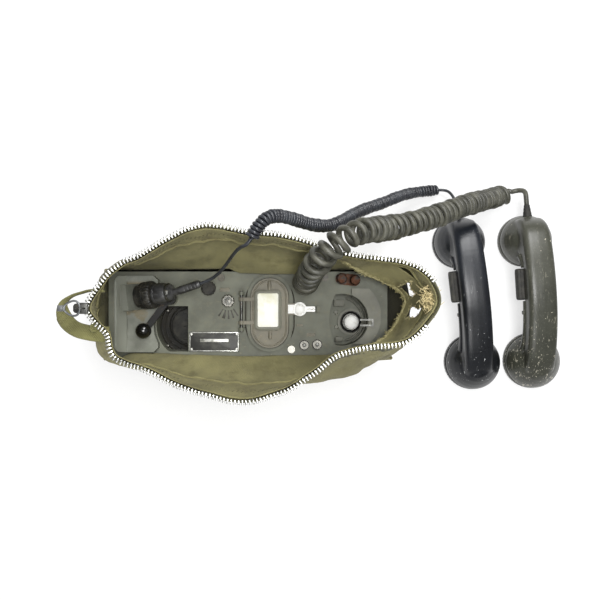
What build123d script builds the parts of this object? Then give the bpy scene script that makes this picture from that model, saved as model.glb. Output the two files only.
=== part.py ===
"""Field telephone set in a zipped canvas bag, with two handsets on curly cords.

Millimetres, +Z up.  The origin is the centre of the bag's underside.  +X runs along the
case towards the handsets, +Y towards the side where the cords leave the bag.
"""

from build123d import *
from math import atan2, cos, degrees, hypot, pi, radians, sin, tan
import os

# ---- driving sizes: case and panel -------------------------------------------------
CASE_LENGTH = 312.0
CASE_WIDTH = 96.0
CASE_HEIGHT = 106.0
CASE_WALL = 2.5
CASE_CORNER = 9.0
PANEL_THICK = 6.0
BASE_THICK = 3.0
SEAT_GAP = 0.3          # a piece that rests on another body without touching it
RUN_GAP = 0.06          # a shaft in its bore, radially
PANEL_BOTTOM = BASE_THICK + CASE_HEIGHT
PANEL_TOP = PANEL_BOTTOM + PANEL_THICK
HALF_LENGTH = CASE_LENGTH / 2
HALF_WIDTH = CASE_WIDTH / 2

# ---- canvas bag --------------------------------------------------------------------
CANVAS = 2.5
CASE_PLAY = 0.7         # canvas to case
BELLY_LIFT = 50.0       # above the panel
RIM_LIFT = 100.0
BELLY_Z = PANEL_TOP + BELLY_LIFT
RIM_Z = PANEL_TOP + RIM_LIFT
ZIP_WIDE = 6.0
ZIP_HIGH = 3.0
ZIP_SPLIT = 1.5

# Outline of the open mouth at the rim, from its left tip round the back to the front.
MOUTH = [
    (-153.0, 11.0), (-136.0, 36.0), (-118.0, 52.5), (-98.0, 61.5), (-74.0, 76.0), (-38.0, 90.0),
    (3.0, 84.0), (50.0, 78.0), (98.0, 63.0), (132.0, 57.5), (167.0, 52.0),
    (188.0, 38.0), (197.0, 14.0), (182.0, -11.0), (163.0, -25.5), (130.0, -30.0),
    (95.0, -38.5), (70.0, -58.0), (38.0, -76.0), (-4.0, -84.5), (-62.0, -68.5),
    (-93.0, -54.0), (-125.0, -41.0), (-134.0, -17.0), (-146.0, -5.0),
]
# The same stations half way down, where the canvas bellies out or is pressed in.
BELLY = [
    (-158.0, 10.0), (-153.0, 38.0), (-132.0, 53.0), (-106.0, 59.5), (-78.0, 67.0), (-38.0, 74.0),
    (3.0, 72.0), (50.0, 69.0), (98.0, 64.0), (134.0, 61.0), (166.0, 55.0),
    (178.0, 38.0), (182.0, 10.0), (177.0, -16.0), (160.0, -37.0), (134.0, -51.0),
    (98.0, -66.0), (70.0, -70.0), (38.0, -72.0), (-4.0, -72.0), (-62.0, -66.0),
    (-93.0, -59.0), (-135.0, -52.0), (-155.0, -38.0), (-158.0, -12.0),
]
# Where each station stands on the case's outline: share of the half length and width.
FOOT = [
    (-1.0, 0.25), (-1.0, 0.92), (-0.97, 1.0), (-0.72, 1.0), (-0.5, 1.0), (-0.25, 1.0),
    (0.02, 1.0), (0.32, 1.0), (0.6, 1.0), (0.8, 1.0), (0.97, 1.0),
    (1.0, 0.92), (1.0, 0.2), (1.0, -0.5), (1.0, -0.92), (0.97, -1.0),
    (0.6, -1.0), (0.42, -1.0), (0.22, -1.0), (-0.02, -1.0), (-0.4, -1.0),
    (-0.62, -1.0), (-0.97, -1.0), (-1.0, -0.92), (-1.0, -0.3),
]

LOOP_AT = (-160.0, -1.0)
LOOP_INNER = 13.5
LOOP_BAND = 13.0
LOOP_DROP = 15.0        # below the rim
LOOP_Z = RIM_Z - LOOP_DROP
LOOP_THICK = 2.5

SLIDER_AT = (-158.0, 8.0)
SLIDER_LONG = 14.0
SLIDER_WIDE = 11.0
SLIDER_HIGH = 5.0
PULL_WIRE = 1.3
PULL_LONG = 16.0
PULL_WIDE = 18.0
PULL_TAG = (8.0, 6.0, 1.6)

# ---- left end: housing, receptacle and plug ----------------------------------------
HOUSING_X = (6.0 - HALF_LENGTH, -98.6)
HOUSING_Y = (-41.5, 43.0)
HOUSING_HIGH = 12.0
HOUSING_SLOPE = 17.0
HOUSING_CORNER = 5.0

PLUG_LIFT = 29.6
PLUG_AT = (-108.6, 20.9, PANEL_TOP + PLUG_LIFT)
PLUG_RISE = 20.0
PLUG_SWING = 7.0
BOOT_SWING = 16.0
RING_RADIUS = 14.8
RING_LONG = 18.0
RING_LIP = 2.0
BARREL_RADIUS = 10.6
BARREL_BORE = 8.2
PLUG_NECK = 7.4
PLUG_RADIUS = 11.2
PLUG_LONG = 32.8
BOOT_RADIUS = (5.6, 4.2)
BOOT_LONG = 34.0
SOCKET_BLOCK = (28.0, 24.0, 14.0)
SOCKET_REACH = 24.4      # how far the block reaches back along the case

# ---- crank and generator -----------------------------------------------------------
HUB_AT = (-85.7, 17.9)
KNOB_AT = (-112.2, -17.4)
HUB_RADIUS = 7.5
ARM_WIDE = 7.0
ARM_THICK = 3.5
ARM_LIFT = 1.5          # arm above the housing's top
BUSH_HIGH = 5.0
CRANK_SHAFT = 4.0
KNOB_RADIUS = 8.6
KNOB_PIN = 2.5
GEAR_MODULE = 1.25
GEAR_TEETH = 40
PINION_TEETH = 12
GEAR_THICK = 5.0
PINION_BEARING = 200.0  # direction from gear to pinion, degrees
ARMATURE_RADIUS = 14.0
ARMATURE_SHAFT = 3.0
POLE_GAP = 0.5
POLE_BLOCK = (26.0, 42.0)
FRAME_PLATE = 4.0
FRAME_MARGIN = 9.0

# ---- left dish (rest for a handset cap) --------------------------------------------
DISH_CENTRE = (-67.0, -13.2)
DISH_RADIUS = 35.4
DISH_Y = (-41.5, 9.4)
DISH_DEPTH = 24.0
CUP_WALL = 2.5
PAD_RADIUS = 20.0
PAD_THICK = 14.0

# ---- selector and volume knob ------------------------------------------------------
SELECTOR_AT = (-22.3, 15.1)
SELECTOR_NUT = 7.2
SELECTOR_NUT_HIGH = 3.5
SELECTOR_SHAFT = 4.4
SELECTOR_SLOT = (1.6, 2.0)
VOLUME_AT = (-43.9, 29.2)
VOLUME_RADIUS = 8.3
VOLUME_HIGH = 5.5
VOLUME_SHAFT = 3.0
SHAFT_REACH = 14.0      # how far a control's shaft reaches below the panel
BOARD_DROP = 23.0
BOARD_THICK = 2.0
BOARD_X = (-58.0, -2.0)
BOARD_Y = (7.0 - HALF_WIDTH, HALF_WIDTH - 5.0)
TRANSFORMER = (28.0, 24.0, 17.0)
TRANSFORMER_INSET = 8.0

# ---- nameplate ---------------------------------------------------------------------
PLATE_X = (-66.0, -9.9)
PLATE_Y = (-41.7, -19.2)
PLATE_THICK = 0.8
RIVET_RADIUS = 1.4
RIVET_INSET = 2.6

# ---- battery lid, window and latch -------------------------------------------------
LID_AT = (24.4, 1.6)
LID_HALF = (21.0, 38.8)
LID_THICK = 5.5
LID_PLAY = 0.6
RIM_WIDE = 3.6
RIM_HIGH = 3.0
PIN_X = -7.0
PIN_RADIUS = 1.5
PIN_Z = 4.6             # above the panel
KNUCKLE_RADIUS = 3.0
HINGE_ARM_Y = (-9.0, 16.9)
HINGE_ARM_WIDE = 4.0
HINGE_LUG_Y = (-16.5, 23.5)
HINGE_LUG_WIDE = 3.6
WINDOW_AT = (22.6, 4.9)
WINDOW_SIZE = (23.6, 38.0)
WINDOW_FRAME = (29.5, 44.5)
WINDOW_FRAME_HIGH = 1.6
WINDOW_DEEP = 2.5
LATCH_AT = (57.9, 6.1)
LATCH_RADIUS = 7.7
LATCH_THICK = 3.0
LATCH_ARM = 17.0
LATCH_ARM_WIDE = 6.6
LATCH_TAIL = 13.0
LATCH_TAIL_WIDE = 9.6
LATCH_LUG_HALF = 6.5
LATCH_PIN = 2.2
KEEPER_X = 76.6
KEEPER_LONG = 5.0

# ---- battery well and cells --------------------------------------------------------
CELL_RADIUS = 16.5
CELL_LONG = 58.0
CELL_NUB = (4.5, 1.5)
CELL_PLAY = 0.5
WELL_WALL = 2.0
CONTACT_THICK = 1.2

# ---- right recess with the hook switch ---------------------------------------------
RECESS_CENTRE = (104.9, -5.9)
RECESS_RADIUS = 29.1
RECESS_SIDE_RADIUS = 62.7
RECESS_SIDE_X = 91.0
RECESS_DEPTH = 26.0
BUTTON_AT = (116.6, -8.9)
BUTTON_RADIUS = 8.0
BUTTON_THICK = 3.0
BUTTON_LIFT = 9.0
BUTTON_STEM = 3.0
BUTTON_STEM_LONG = 16.0
RING_OUTER = 15.3
RING_INNER = 12.6
RING_HIGH = 3.0
SPRING_WIRE = 0.6
SPRING_RADIUS = 4.6
SPRING_TURNS = 5
CLIP_WIRE = 1.0
CLIP_SPREAD = 6.2
RIDGE_RADIUS = 42.0
RIDGE_CENTRE = (106.6, -2.0)
RIDGE_X = (116.0, HALF_LENGTH - 8.0)
RIDGE_HIGH = 5.0

# ---- terminals, line posts, gland, buzzer, screws ----------------------------------
TERMINAL_PLACES = [(63.0, -34.2), (77.4, -33.6)]
TERMINAL_RADIUS = 5.7
TERMINAL_HIGH = 3.2
TERMINAL_HOLE = 2.2
POST_PLACES = [(104.4, HALF_WIDTH - 8.0), (119.0, HALF_WIDTH - 9.8)]
POST_BASE_RADIUS = 6.4
POST_BASE_HIGH = 6.0
POST_STUD = 2.4
POST_CAP_RADIUS = 5.6
POST_CAP_HIGH = 8.0
POST_TRAVEL = 2.5
POST_CAP_CROWN = 0.8
POST_PLATE = 2.5
GLAND_AT = (64.0, 34.6)
GLAND_RADIUS = 12.4
GLAND_FLANGE = 4.0
GLAND_TOP = 16.0
GLAND_STEM = 8.0
GLAND_REACH = 14.0
BUZZER_AT = (70.0, -3.0)
BUZZER_RADIUS = 15.0
BUZZER_HIGH = 13.0
SCREW_PLACES = [(48.6, 9.0 - HALF_WIDTH), (-30.0, HALF_WIDTH - 7.0), (86.0, HALF_WIDTH - 7.0),
                (HALF_LENGTH - 7.0, HALF_WIDTH - 8.0), (HALF_LENGTH - 7.0, 8.0 - HALF_WIDTH)]
SCREW_HEAD = 4.1
SCREW_HEAD_HIGH = 2.0
SCREW_SHANK = 2.0
SCREW_LONG = 14.0
BOSS_RADIUS = 5.0

# ---- handsets ----------------------------------------------------------------------
CAP_SPAN = 150.0
EAR_RADIUS = 32.0
MOUTH_RADIUS = 34.5
CAP_HIGH = 11.0
CAP_WALL = 2.4
CAP_NECK_PLAY = 0.3
NECK_HIGH = 5.0
EAR_CUP_TOP = (20.0, 52.0)
MOUTH_CUP_TOP = (19.0, 46.0)
CAPSULE_HIGH = 12.0
CAPSULE_PLAY = 3.0
HANDLE_WIDE = 36.0
HANDLE_BACK = [(101.0, 22.0), (99.0, 46.0), (84.0, 66.0), (40.0, 76.5), (-10.0, 77.0),
               (-52.0, 66.0), (-84.0, 48.0), (-98.0, 24.0)]
HANDLE_INSIDE = [(-70.0, 22.0), (-56.0, 42.0), (-30.0, 51.0), (10.0, 54.0), (44.0, 50.0),
                 (62.0, 40.0), (74.0, 22.0)]
TALK_Y = (2.0, 40.0)
TALK_Z = (46.0, 60.0)
TALK_OUT = 7.0
TALK_IN = 6.0
TALK_TRAVEL = 3.0
TALK_PLAY = 0.3
CORD_BOOT_Z = 30.0
LEFT_BOOT_LONG = 9.0
RIGHT_BOOT_LONG = 15.0
LEAD_IN = 8.0           # how far a cord runs straight out of a boot or a coil
LEFT_HANDSET = (265.2, 13.3, 6.6)     # middle on the floor, and how far it is turned
RIGHT_HANDSET = (343.5, 15.2, 3.5)

# ---- cords -------------------------------------------------------------------------
THIN_WIRE = 3.6
THIN_COIL = 14.0
THICK_WIRE = 6.4
THICK_COIL = 28.0
THIN_LEAD_ROUTE = [(-28.0, 42.0, 176.0), (-17.0, 52.5, 193.0), (-8.0, 62.0, 213.0),
                   (0.0, 68.0, 229.0)]
THIN_COIL_ROUTE = [(11.0, 76.0, 237.0), (19.0, 90.0, 240.0), (31.0, 99.0, 231.0),
                   (48.0, 98.5, 211.0), (70.0, 93.0, 188.0), (91.0, 94.0, 164.0),
                   (107.0, 104.0, 139.0), (128.0, 118.0, 108.0), (156.0, 130.0, 72.0),
                   (180.0, 143.0, 40.0), (206.0, 151.5, 14.0), (231.0, 154.0, 8.0)]
THIN_TAIL_ROUTE = [(246.5, 150.5, 13.0)]
THICK_COIL_ROUTE = [(64.0, 34.6, 153.0), (66.0, 38.0, 180.0), (69.0, 44.0, 210.0),
                    (76.0, 54.0, 237.0), (91.0, 68.5, 249.0), (110.0, 80.5, 243.0),
                    (125.0, 85.0, 224.0), (140.0, 88.0, 201.0),
                    (160.0, 92.5, 178.0), (188.0, 101.5, 150.0), (215.0, 111.0, 123.0),
                    (242.0, 123.0, 99.0), (264.0, 130.5, 75.0), (283.0, 137.0, 50.0),
                    (297.0, 141.8, 31.0), (309.5, 146.3, 19.5), (321.0, 150.4, 17.0)]
THICK_LEAD_ROUTE = [(336.0, 151.0, 25.0)]

# ---- levels that follow ------------------------------------------------------------
HOUSING_TOP = PANEL_TOP + HOUSING_HIGH
DISH_FLOOR = PANEL_TOP - DISH_DEPTH
RECESS_FLOOR = PANEL_TOP - RECESS_DEPTH
FLOOR_IN_CASE = BASE_THICK + CASE_WALL


# ---- helpers -----------------------------------------------------------------------
def block(x, y, z):
    """A box from its low and high bounds along each axis."""
    centre = Pos((x[0] + x[1]) / 2, (y[0] + y[1]) / 2, (z[0] + z[1]) / 2)
    return centre * Box(x[1] - x[0], y[1] - y[0], z[1] - z[0])


def post(at, radius, low, high):
    """An upright cylinder."""
    return Pos(at[0], at[1], (low + high) / 2) * Cylinder(radius, high - low)


def flat(sketch, low, high):
    """A plan outline raised from one level to another."""
    return Pos(0, 0, low) * extrude(sketch, high - low)


def stadium(at, half):
    """Plan outline with straight sides along Y and round ends."""
    return Pos(*at) * SlotOverall(2 * half[1], 2 * half[0], rotation=90)


def bar(start, end, width, low, high):
    """A flat bar with round ends between two plan points."""
    length = hypot(end[0] - start[0], end[1] - start[1])
    turn = degrees(atan2(end[1] - start[1], end[0] - start[0]))
    middle = ((start[0] + end[0]) / 2, (start[1] + end[1]) / 2)
    return flat(Pos(*middle) * SlotCenterToCenter(length, width, rotation=turn), low, high)


def polygon(points):
    """A plan face with straight sides."""
    return make_face(Polyline(*points, close=True))


def direction(rise, swing):
    """The unit vector that rises above the horizontal and swings from +X towards +Y."""
    return Vector(cos(radians(rise)) * cos(radians(swing)),
                  cos(radians(rise)) * sin(radians(swing)), sin(radians(rise)))


def along(origin, axis, low, high, radius, radius_high=None):
    """A round piece along an axis, straight or tapered."""
    plane = Plane(origin=origin, z_dir=axis)
    length = high - low
    middle = Pos(0, 0, (low + high) / 2)
    if radius_high is None:
        return plane * (middle * Cylinder(radius, length))
    return plane * (middle * Cone(radius, radius_high, length))


def inset(points, depth):
    """The polygon moved inwards by a depth, side by side."""
    count = len(points)
    lines = []
    for index in range(count):
        a, b = points[index], points[(index + 1) % count]
        side = hypot(b[0] - a[0], b[1] - a[1])
        inward = ((b[1] - a[1]) / side, -(b[0] - a[0]) / side)
        start = (a[0] + inward[0] * depth, a[1] + inward[1] * depth)
        lines.append((start, (b[0] - a[0], b[1] - a[1])))
    moved = []
    for index in range(count):
        (p, d), (q, e) = lines[index - 1], lines[index]
        cross = d[0] * e[1] - d[1] * e[0]
        if abs(cross) < 1e-6 * hypot(*d) * hypot(*e):
            moved.append(q)
            continue
        step = ((q[0] - p[0]) * e[1] - (q[1] - p[1]) * e[0]) / cross
        moved.append((p[0] + d[0] * step, p[1] + d[1] * step))
    return moved


def section(points, height):
    """A closed wire of straight sides at one level."""
    return Wire.make_polygon([(x, y, height) for x, y in points], close=True)


def tube(name, route, diameter):
    """A round cord along straight runs and arcs as large as the runs allow."""
    points = [Vector(*p) for p in route]
    radii = []
    for before, here, after in zip(points, points[1:], points[2:]):
        turn = (here - before).get_angle(after - here)
        shorter = min((here - before).length, (after - here).length)
        radii.append(0.45 * shorter / tan(radians(turn) / 2))
    path = FilletPolyline(*points, radius=radii) if radii else Line(*points)
    start = Plane(origin=path @ 0, z_dir=path % 0)
    solid = sweep(start * Circle(diameter / 2), path)
    share = solid.volume / (pi * diameter**2 / 4 * path.length)
    print(name, "length", round(path.length), "volume share", round(share, 4),
          "radii", [round(r) for r in radii])
    return solid


def beyond(before, end, distance):
    """The point straight on past the end of a run."""
    run = Vector(*end) - Vector(*before)
    return tuple(Vector(*end) + run.normalized() * distance)


def gear(at, teeth, low, high, bore):
    """A spur gear with narrow straight-sided teeth, which leave room for the mesh."""
    pitch = GEAR_MODULE * teeth / 2
    root, tip = pitch - 1.15 * GEAR_MODULE, pitch + 0.8 * GEAR_MODULE
    step = 360 / teeth
    points = []
    for index in range(teeth):
        for share, radius in ((-0.29, root), (-0.1, tip), (0.1, tip), (0.29, root)):
            angle = radians(step * (index + share))
            points.append((radius * cos(angle), radius * sin(angle)))
    wheel = flat(Pos(*at) * polygon(points), low, high)
    return wheel - post(at, bore, low - 1, high + 1) if bore else wheel


parts = {}

# ---- canvas bag --------------------------------------------------------------------
half_x, half_y = HALF_LENGTH + CASE_PLAY, HALF_WIDTH + CASE_PLAY
foot_inner = [(half_x * x, half_y * y) for x, y in FOOT]
foot_outer = inset(foot_inner, -CANVAS)
shoulder_z = PANEL_TOP + 1

bag_outer = Solid.make_loft(
    [section(foot_outer, BASE_THICK), section(foot_outer, shoulder_z),
     section(BELLY, BELLY_Z), section(MOUTH, RIM_Z)], ruled=True)
bag_inner = Solid.make_loft(
    [section(foot_inner, BASE_THICK), section(foot_inner, shoulder_z),
     section(inset(BELLY, CANVAS), BELLY_Z), section(inset(MOUTH, CANVAS), RIM_Z)], ruled=True)
parts["bag_shell"] = bag_outer - bag_inner
parts["bag_base"] = flat(polygon(foot_outer), 0, BASE_THICK)

chain = flat(polygon(inset(MOUTH, -1)) - polygon(inset(MOUTH, ZIP_WIDE)), RIM_Z, RIM_Z + ZIP_HIGH)
left_tip, right_tip = min(MOUTH), max(MOUTH)
for tip in (left_tip, right_tip):
    chain -= block((tip[0] - 12, tip[0] + 12), (tip[1] - ZIP_SPLIT / 2, tip[1] + ZIP_SPLIT / 2),
                   (RIM_Z - 1, RIM_Z + ZIP_HIGH + 1))
closed_end = block((SLIDER_AT[0] - SLIDER_LONG, left_tip[0] - 2),
                   (SLIDER_AT[1] - ZIP_WIDE, left_tip[1] - ZIP_SPLIT / 2), (RIM_Z, RIM_Z + ZIP_HIGH))
parts["zipper_chain"] = chain + closed_end

slider_z = RIM_Z + ZIP_HIGH
slider = Pos(SLIDER_AT[0], SLIDER_AT[1], slider_z + SLIDER_HIGH / 2) * Box(
    SLIDER_LONG, SLIDER_WIDE, SLIDER_HIGH)
slider = fillet(slider.edges().filter_by(Axis.Z), 3)
pull_z = slider_z + SLIDER_HIGH + PULL_WIRE + SEAT_GAP
pull_x = SLIDER_AT[0]
bridge_half = 1.5
bridge = block((pull_x - 4, pull_x + 4), (SLIDER_AT[1] - bridge_half, SLIDER_AT[1] + bridge_half),
               (slider_z + SLIDER_HIGH, pull_z + 3.5))
bridge -= Pos(pull_x, SLIDER_AT[1], pull_z) * Rot(90, 0, 0) * Cylinder(PULL_WIRE + RUN_GAP, 10)
parts["zip_slider"] = slider + bridge

pull_half = PULL_WIDE / 2
ring_path = FilletPolyline(
    (pull_x, SLIDER_AT[1] - pull_half, pull_z), (pull_x, SLIDER_AT[1] + pull_half, pull_z),
    (pull_x - PULL_LONG, SLIDER_AT[1], pull_z), radius=2.5, close=True)
ring_plane = Plane(origin=ring_path @ 0.001, z_dir=ring_path % 0.001)
pull_ring = sweep(ring_plane * Circle(PULL_WIRE), ring_path)
tag_x = pull_x - PULL_LONG
tag = block((tag_x - PULL_TAG[0] + 2, tag_x + 2),
            (SLIDER_AT[1] - PULL_TAG[1] / 2, SLIDER_AT[1] + PULL_TAG[1] / 2),
            (pull_z - PULL_TAG[2] / 2, pull_z + PULL_TAG[2] / 2))
parts["zip_pull"] = pull_ring + tag

loop_outer = LOOP_INNER + LOOP_BAND
loop = flat(Pos(*LOOP_AT) * (Circle(loop_outer) - Circle(LOOP_INNER)), LOOP_Z, LOOP_Z + LOOP_THICK)
loop &= block((LOOP_AT[0] - loop_outer, LOOP_AT[0]), (-200, 200), (0, 300))
for side in (-1, 1):
    near, far = sorted((LOOP_AT[1] + side * LOOP_INNER, LOOP_AT[1] + side * loop_outer))
    loop += block((LOOP_AT[0], left_tip[0] + 20), (near, far), (LOOP_Z, LOOP_Z + LOOP_THICK))
loop = (loop - bag_outer).solids().sort_by(Axis.X)[0]
parts["carry_loop"] = loop

# ---- case, panel and its castings --------------------------------------------------
case_plan = RectangleRounded(CASE_LENGTH, CASE_WIDTH, CASE_CORNER)
inner_plan = RectangleRounded(CASE_LENGTH - 2 * CASE_WALL, CASE_WIDTH - 2 * CASE_WALL,
                              CASE_CORNER - CASE_WALL)
case = flat(case_plan, BASE_THICK, PANEL_BOTTOM) - flat(inner_plan, FLOOR_IN_CASE, PANEL_BOTTOM)
for x, y in SCREW_PLACES:
    side = 1 if y > 0 else -1
    wall = side * (HALF_WIDTH - CASE_WALL / 2)
    boss = post((x, y), BOSS_RADIUS, PANEL_BOTTOM - SCREW_LONG, PANEL_BOTTOM)
    boss += block((x - BOSS_RADIUS, x + BOSS_RADIUS), tuple(sorted((y, wall))),
                  (PANEL_BOTTOM - SCREW_LONG, PANEL_BOTTOM))
    case += boss
    case -= post((x, y), SCREW_SHANK + RUN_GAP, PANEL_BOTTOM - SCREW_LONG - 1, PANEL_BOTTOM + 1)
parts["case_shell"] = case

dish = Pos(*DISH_CENTRE) * Circle(DISH_RADIUS)
dish &= Pos(DISH_CENTRE[0] - DISH_RADIUS, (DISH_Y[0] + DISH_Y[1]) / 2) * Rectangle(
    2 * DISH_RADIUS, DISH_Y[1] - DISH_Y[0])
side_centre = (RECESS_SIDE_X + RECESS_SIDE_RADIUS, RECESS_CENTRE[1])
recess = (Pos(*RECESS_CENTRE) * Circle(RECESS_RADIUS)) & (
    Pos(*side_centre) * Circle(RECESS_SIDE_RADIUS))
well_half = (CELL_RADIUS + CELL_PLAY, 2 * CELL_RADIUS + CELL_PLAY)
lid_rim_inner = (LID_HALF[0] + LID_PLAY, LID_HALF[1] + LID_PLAY)
lid_rim_outer = (lid_rim_inner[0] + RIM_WIDE, lid_rim_inner[1] + RIM_WIDE)

panel = flat(case_plan, PANEL_BOTTOM, PANEL_TOP)
panel += flat(offset(dish, CUP_WALL), DISH_FLOOR - CUP_WALL, PANEL_TOP)
panel += flat(offset(recess, CUP_WALL), RECESS_FLOOR - CUP_WALL, PANEL_TOP)
panel -= flat(dish, DISH_FLOOR, PANEL_TOP + 1)
panel -= flat(recess, RECESS_FLOOR, PANEL_TOP + 1)
panel += flat(stadium(LID_AT, lid_rim_outer) - stadium(LID_AT, lid_rim_inner),
              PANEL_TOP, PANEL_TOP + RIM_HIGH)
panel -= flat(stadium(LID_AT, well_half), PANEL_BOTTOM - 1, PANEL_TOP + 1)
pin_level = PANEL_TOP + PIN_Z
for y in HINGE_LUG_Y:
    lug = block((PIN_X - KNUCKLE_RADIUS, PIN_X + KNUCKLE_RADIUS),
                (y - HINGE_LUG_WIDE / 2, y + HINGE_LUG_WIDE / 2), (PANEL_TOP, pin_level))
    lug += Pos(PIN_X, y, pin_level) * Rot(90, 0, 0) * Cylinder(KNUCKLE_RADIUS, HINGE_LUG_WIDE)
    panel += lug
panel -= Pos(PIN_X, 0, pin_level) * Rot(90, 0, 0) * Cylinder(PIN_RADIUS + RUN_GAP, 90)
latch_low = PANEL_TOP + SEAT_GAP + LID_THICK + SEAT_GAP
panel += block((KEEPER_X, KEEPER_X + KEEPER_LONG),
               (LATCH_AT[1] - LATCH_ARM_WIDE / 2, LATCH_AT[1] + LATCH_ARM_WIDE / 2),
               (PANEL_TOP, latch_low + LATCH_THICK))
panel += post(HUB_AT, HUB_RADIUS, PANEL_TOP, PANEL_TOP + BUSH_HIGH)
holes = [(HUB_AT, CRANK_SHAFT + RUN_GAP), (SELECTOR_AT, SELECTOR_SHAFT + RUN_GAP),
         (VOLUME_AT, VOLUME_SHAFT + RUN_GAP), (GLAND_AT, GLAND_STEM + RUN_GAP),
         (BUTTON_AT, BUTTON_STEM + RUN_GAP)]
holes += [(place, SCREW_SHANK + RUN_GAP) for place in SCREW_PLACES]
for at, radius in holes:
    panel -= post(at, radius, RECESS_FLOOR - 2 * CUP_WALL, PANEL_TOP + 2 * BUSH_HIGH)
parts["panel_plate"] = panel

screws = []
for at in SCREW_PLACES:
    screw = post(at, SCREW_HEAD, PANEL_TOP, PANEL_TOP + SCREW_HEAD_HIGH)
    screw -= Pos(at[0], at[1], PANEL_TOP + SCREW_HEAD_HIGH) * Box(2 * SCREW_HEAD, 1.2, 2)
    screws.append(screw + post(at, SCREW_SHANK, PANEL_BOTTOM - SCREW_LONG, PANEL_TOP))
parts["panel_screws"] = Compound(screws)

nameplate = [block(PLATE_X, PLATE_Y, (PANEL_TOP, PANEL_TOP + PLATE_THICK))]
for x in (PLATE_X[0] + RIVET_INSET, PLATE_X[1] - RIVET_INSET):
    for y in (PLATE_Y[0] + RIVET_INSET, PLATE_Y[1] - RIVET_INSET):
        nameplate.append(post((x, y), RIVET_RADIUS, PANEL_TOP + PLATE_THICK,
                              PANEL_TOP + 2 * PLATE_THICK))
parts["nameplate"] = Compound(nameplate)

# ---- end housing, receptacle and plug ----------------------------------------------
housing_side = Polyline((HOUSING_X[0], PANEL_TOP), (HOUSING_X[0] + HOUSING_SLOPE, HOUSING_TOP),
                        (HOUSING_X[1], HOUSING_TOP), (HOUSING_X[1], PANEL_TOP), close=True)
housing_face = make_face(Plane.XZ * housing_side)
housing = Pos(0, HOUSING_Y[1], 0) * extrude(housing_face, HOUSING_Y[1] - HOUSING_Y[0], dir=(0, -1, 0))
housing_plan = Pos((HOUSING_X[0] + HOUSING_X[1]) / 2, (HOUSING_Y[0] + HOUSING_Y[1]) / 2) * Rectangle(
    HOUSING_X[1] - HOUSING_X[0], HOUSING_Y[1] - HOUSING_Y[0])
housing &= flat(chamfer(housing_plan.vertices(), HOUSING_CORNER), PANEL_TOP, HOUSING_TOP)
housing -= post(HUB_AT, HUB_RADIUS + 1, PANEL_TOP - 1, HOUSING_TOP + 1)
housing -= flat(offset(dish, 1.0), PANEL_TOP - 1, HOUSING_TOP + 1)
parts["end_housing"] = housing

plug_axis = direction(PLUG_RISE, PLUG_SWING)
ring_start = -RING_LONG / 2
socket_plane = Plane(origin=PLUG_AT, z_dir=plug_axis, x_dir=Vector(plug_axis.Y, -plug_axis.X, 0))
socket = socket_plane * (Pos(0, -4, ring_start - 1 - SOCKET_BLOCK[2] / 2) * Box(
    SOCKET_BLOCK[0], SOCKET_BLOCK[1] + 12, SOCKET_BLOCK[2]))
socket &= block((PLUG_AT[0] - SOCKET_REACH, 0), (-HALF_WIDTH, HALF_WIDTH), (HOUSING_TOP, RIM_Z))
socket += along(PLUG_AT, plug_axis, ring_start - 2, RING_LONG / 2 - RING_LIP - 1, BARREL_RADIUS)
socket -= along(PLUG_AT, plug_axis, ring_start + 2, RING_LONG, BARREL_BORE)
parts["audio_receptacle"] = socket.solids().sort_by(SortBy.VOLUME)[-1]

ring = along(PLUG_AT, plug_axis, ring_start, RING_LONG / 2, RING_RADIUS)
ring -= along(PLUG_AT, plug_axis, ring_start - 1, RING_LONG / 2 - RING_LIP, BARREL_RADIUS + RUN_GAP)
ring -= along(PLUG_AT, plug_axis, 0, RING_LONG, PLUG_NECK + RUN_GAP)
parts["plug_ring"] = ring

plug = along(PLUG_AT, plug_axis, ring_start + 2.5, RING_LONG / 2 + 1, PLUG_NECK)
plug += along(PLUG_AT, plug_axis, RING_LONG / 2 + SEAT_GAP, PLUG_LONG - 3, PLUG_RADIUS)
plug += along(PLUG_AT, plug_axis, PLUG_LONG - 3, PLUG_LONG, PLUG_RADIUS - 2)
parts["plug_body"] = plug

boot_axis = direction(PLUG_RISE - 2, BOOT_SWING)
boot_start = Vector(*PLUG_AT) + plug_axis * PLUG_LONG
boot = along(boot_start, plug_axis, 0, 5, BOOT_RADIUS[0] + 0.4)
boot += along(boot_start, boot_axis, 2, BOOT_LONG, BOOT_RADIUS[0], BOOT_RADIUS[1])
boot -= along(boot_start, plug_axis, -10, 0, PLUG_RADIUS)
parts["plug_boot"] = boot
boot_end = boot_start + boot_axis * BOOT_LONG

# ---- crank and generator -----------------------------------------------------------
arm_low = HOUSING_TOP + ARM_LIFT
arm_top = arm_low + ARM_THICK
gear_top = DISH_FLOOR - CUP_WALL - 1
gear_low = gear_top - GEAR_THICK
frame_top = gear_low - 3
shaft_end = frame_top - FRAME_PLATE - 3

crank = bar(HUB_AT, KNOB_AT, ARM_WIDE, arm_low, arm_top)
crank += post(HUB_AT, HUB_RADIUS - 0.5, PANEL_TOP + BUSH_HIGH + SEAT_GAP, arm_top + 1.5)
crank += post(KNOB_AT, KNOB_PIN, arm_low, arm_top + KNOB_RADIUS)
parts["crank_arm"] = crank

knob_low = arm_top + SEAT_GAP
knob = Pos(KNOB_AT[0], KNOB_AT[1], knob_low + 0.9 * KNOB_RADIUS) * Sphere(KNOB_RADIUS)
knob &= block((KNOB_AT[0] - 20, KNOB_AT[0] + 20), (KNOB_AT[1] - 20, KNOB_AT[1] + 20),
              (knob_low, knob_low + 40))
knob -= post(KNOB_AT, KNOB_PIN + RUN_GAP, knob_low - 1, arm_top + KNOB_RADIUS + SEAT_GAP)
parts["crank_knob"] = knob

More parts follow.
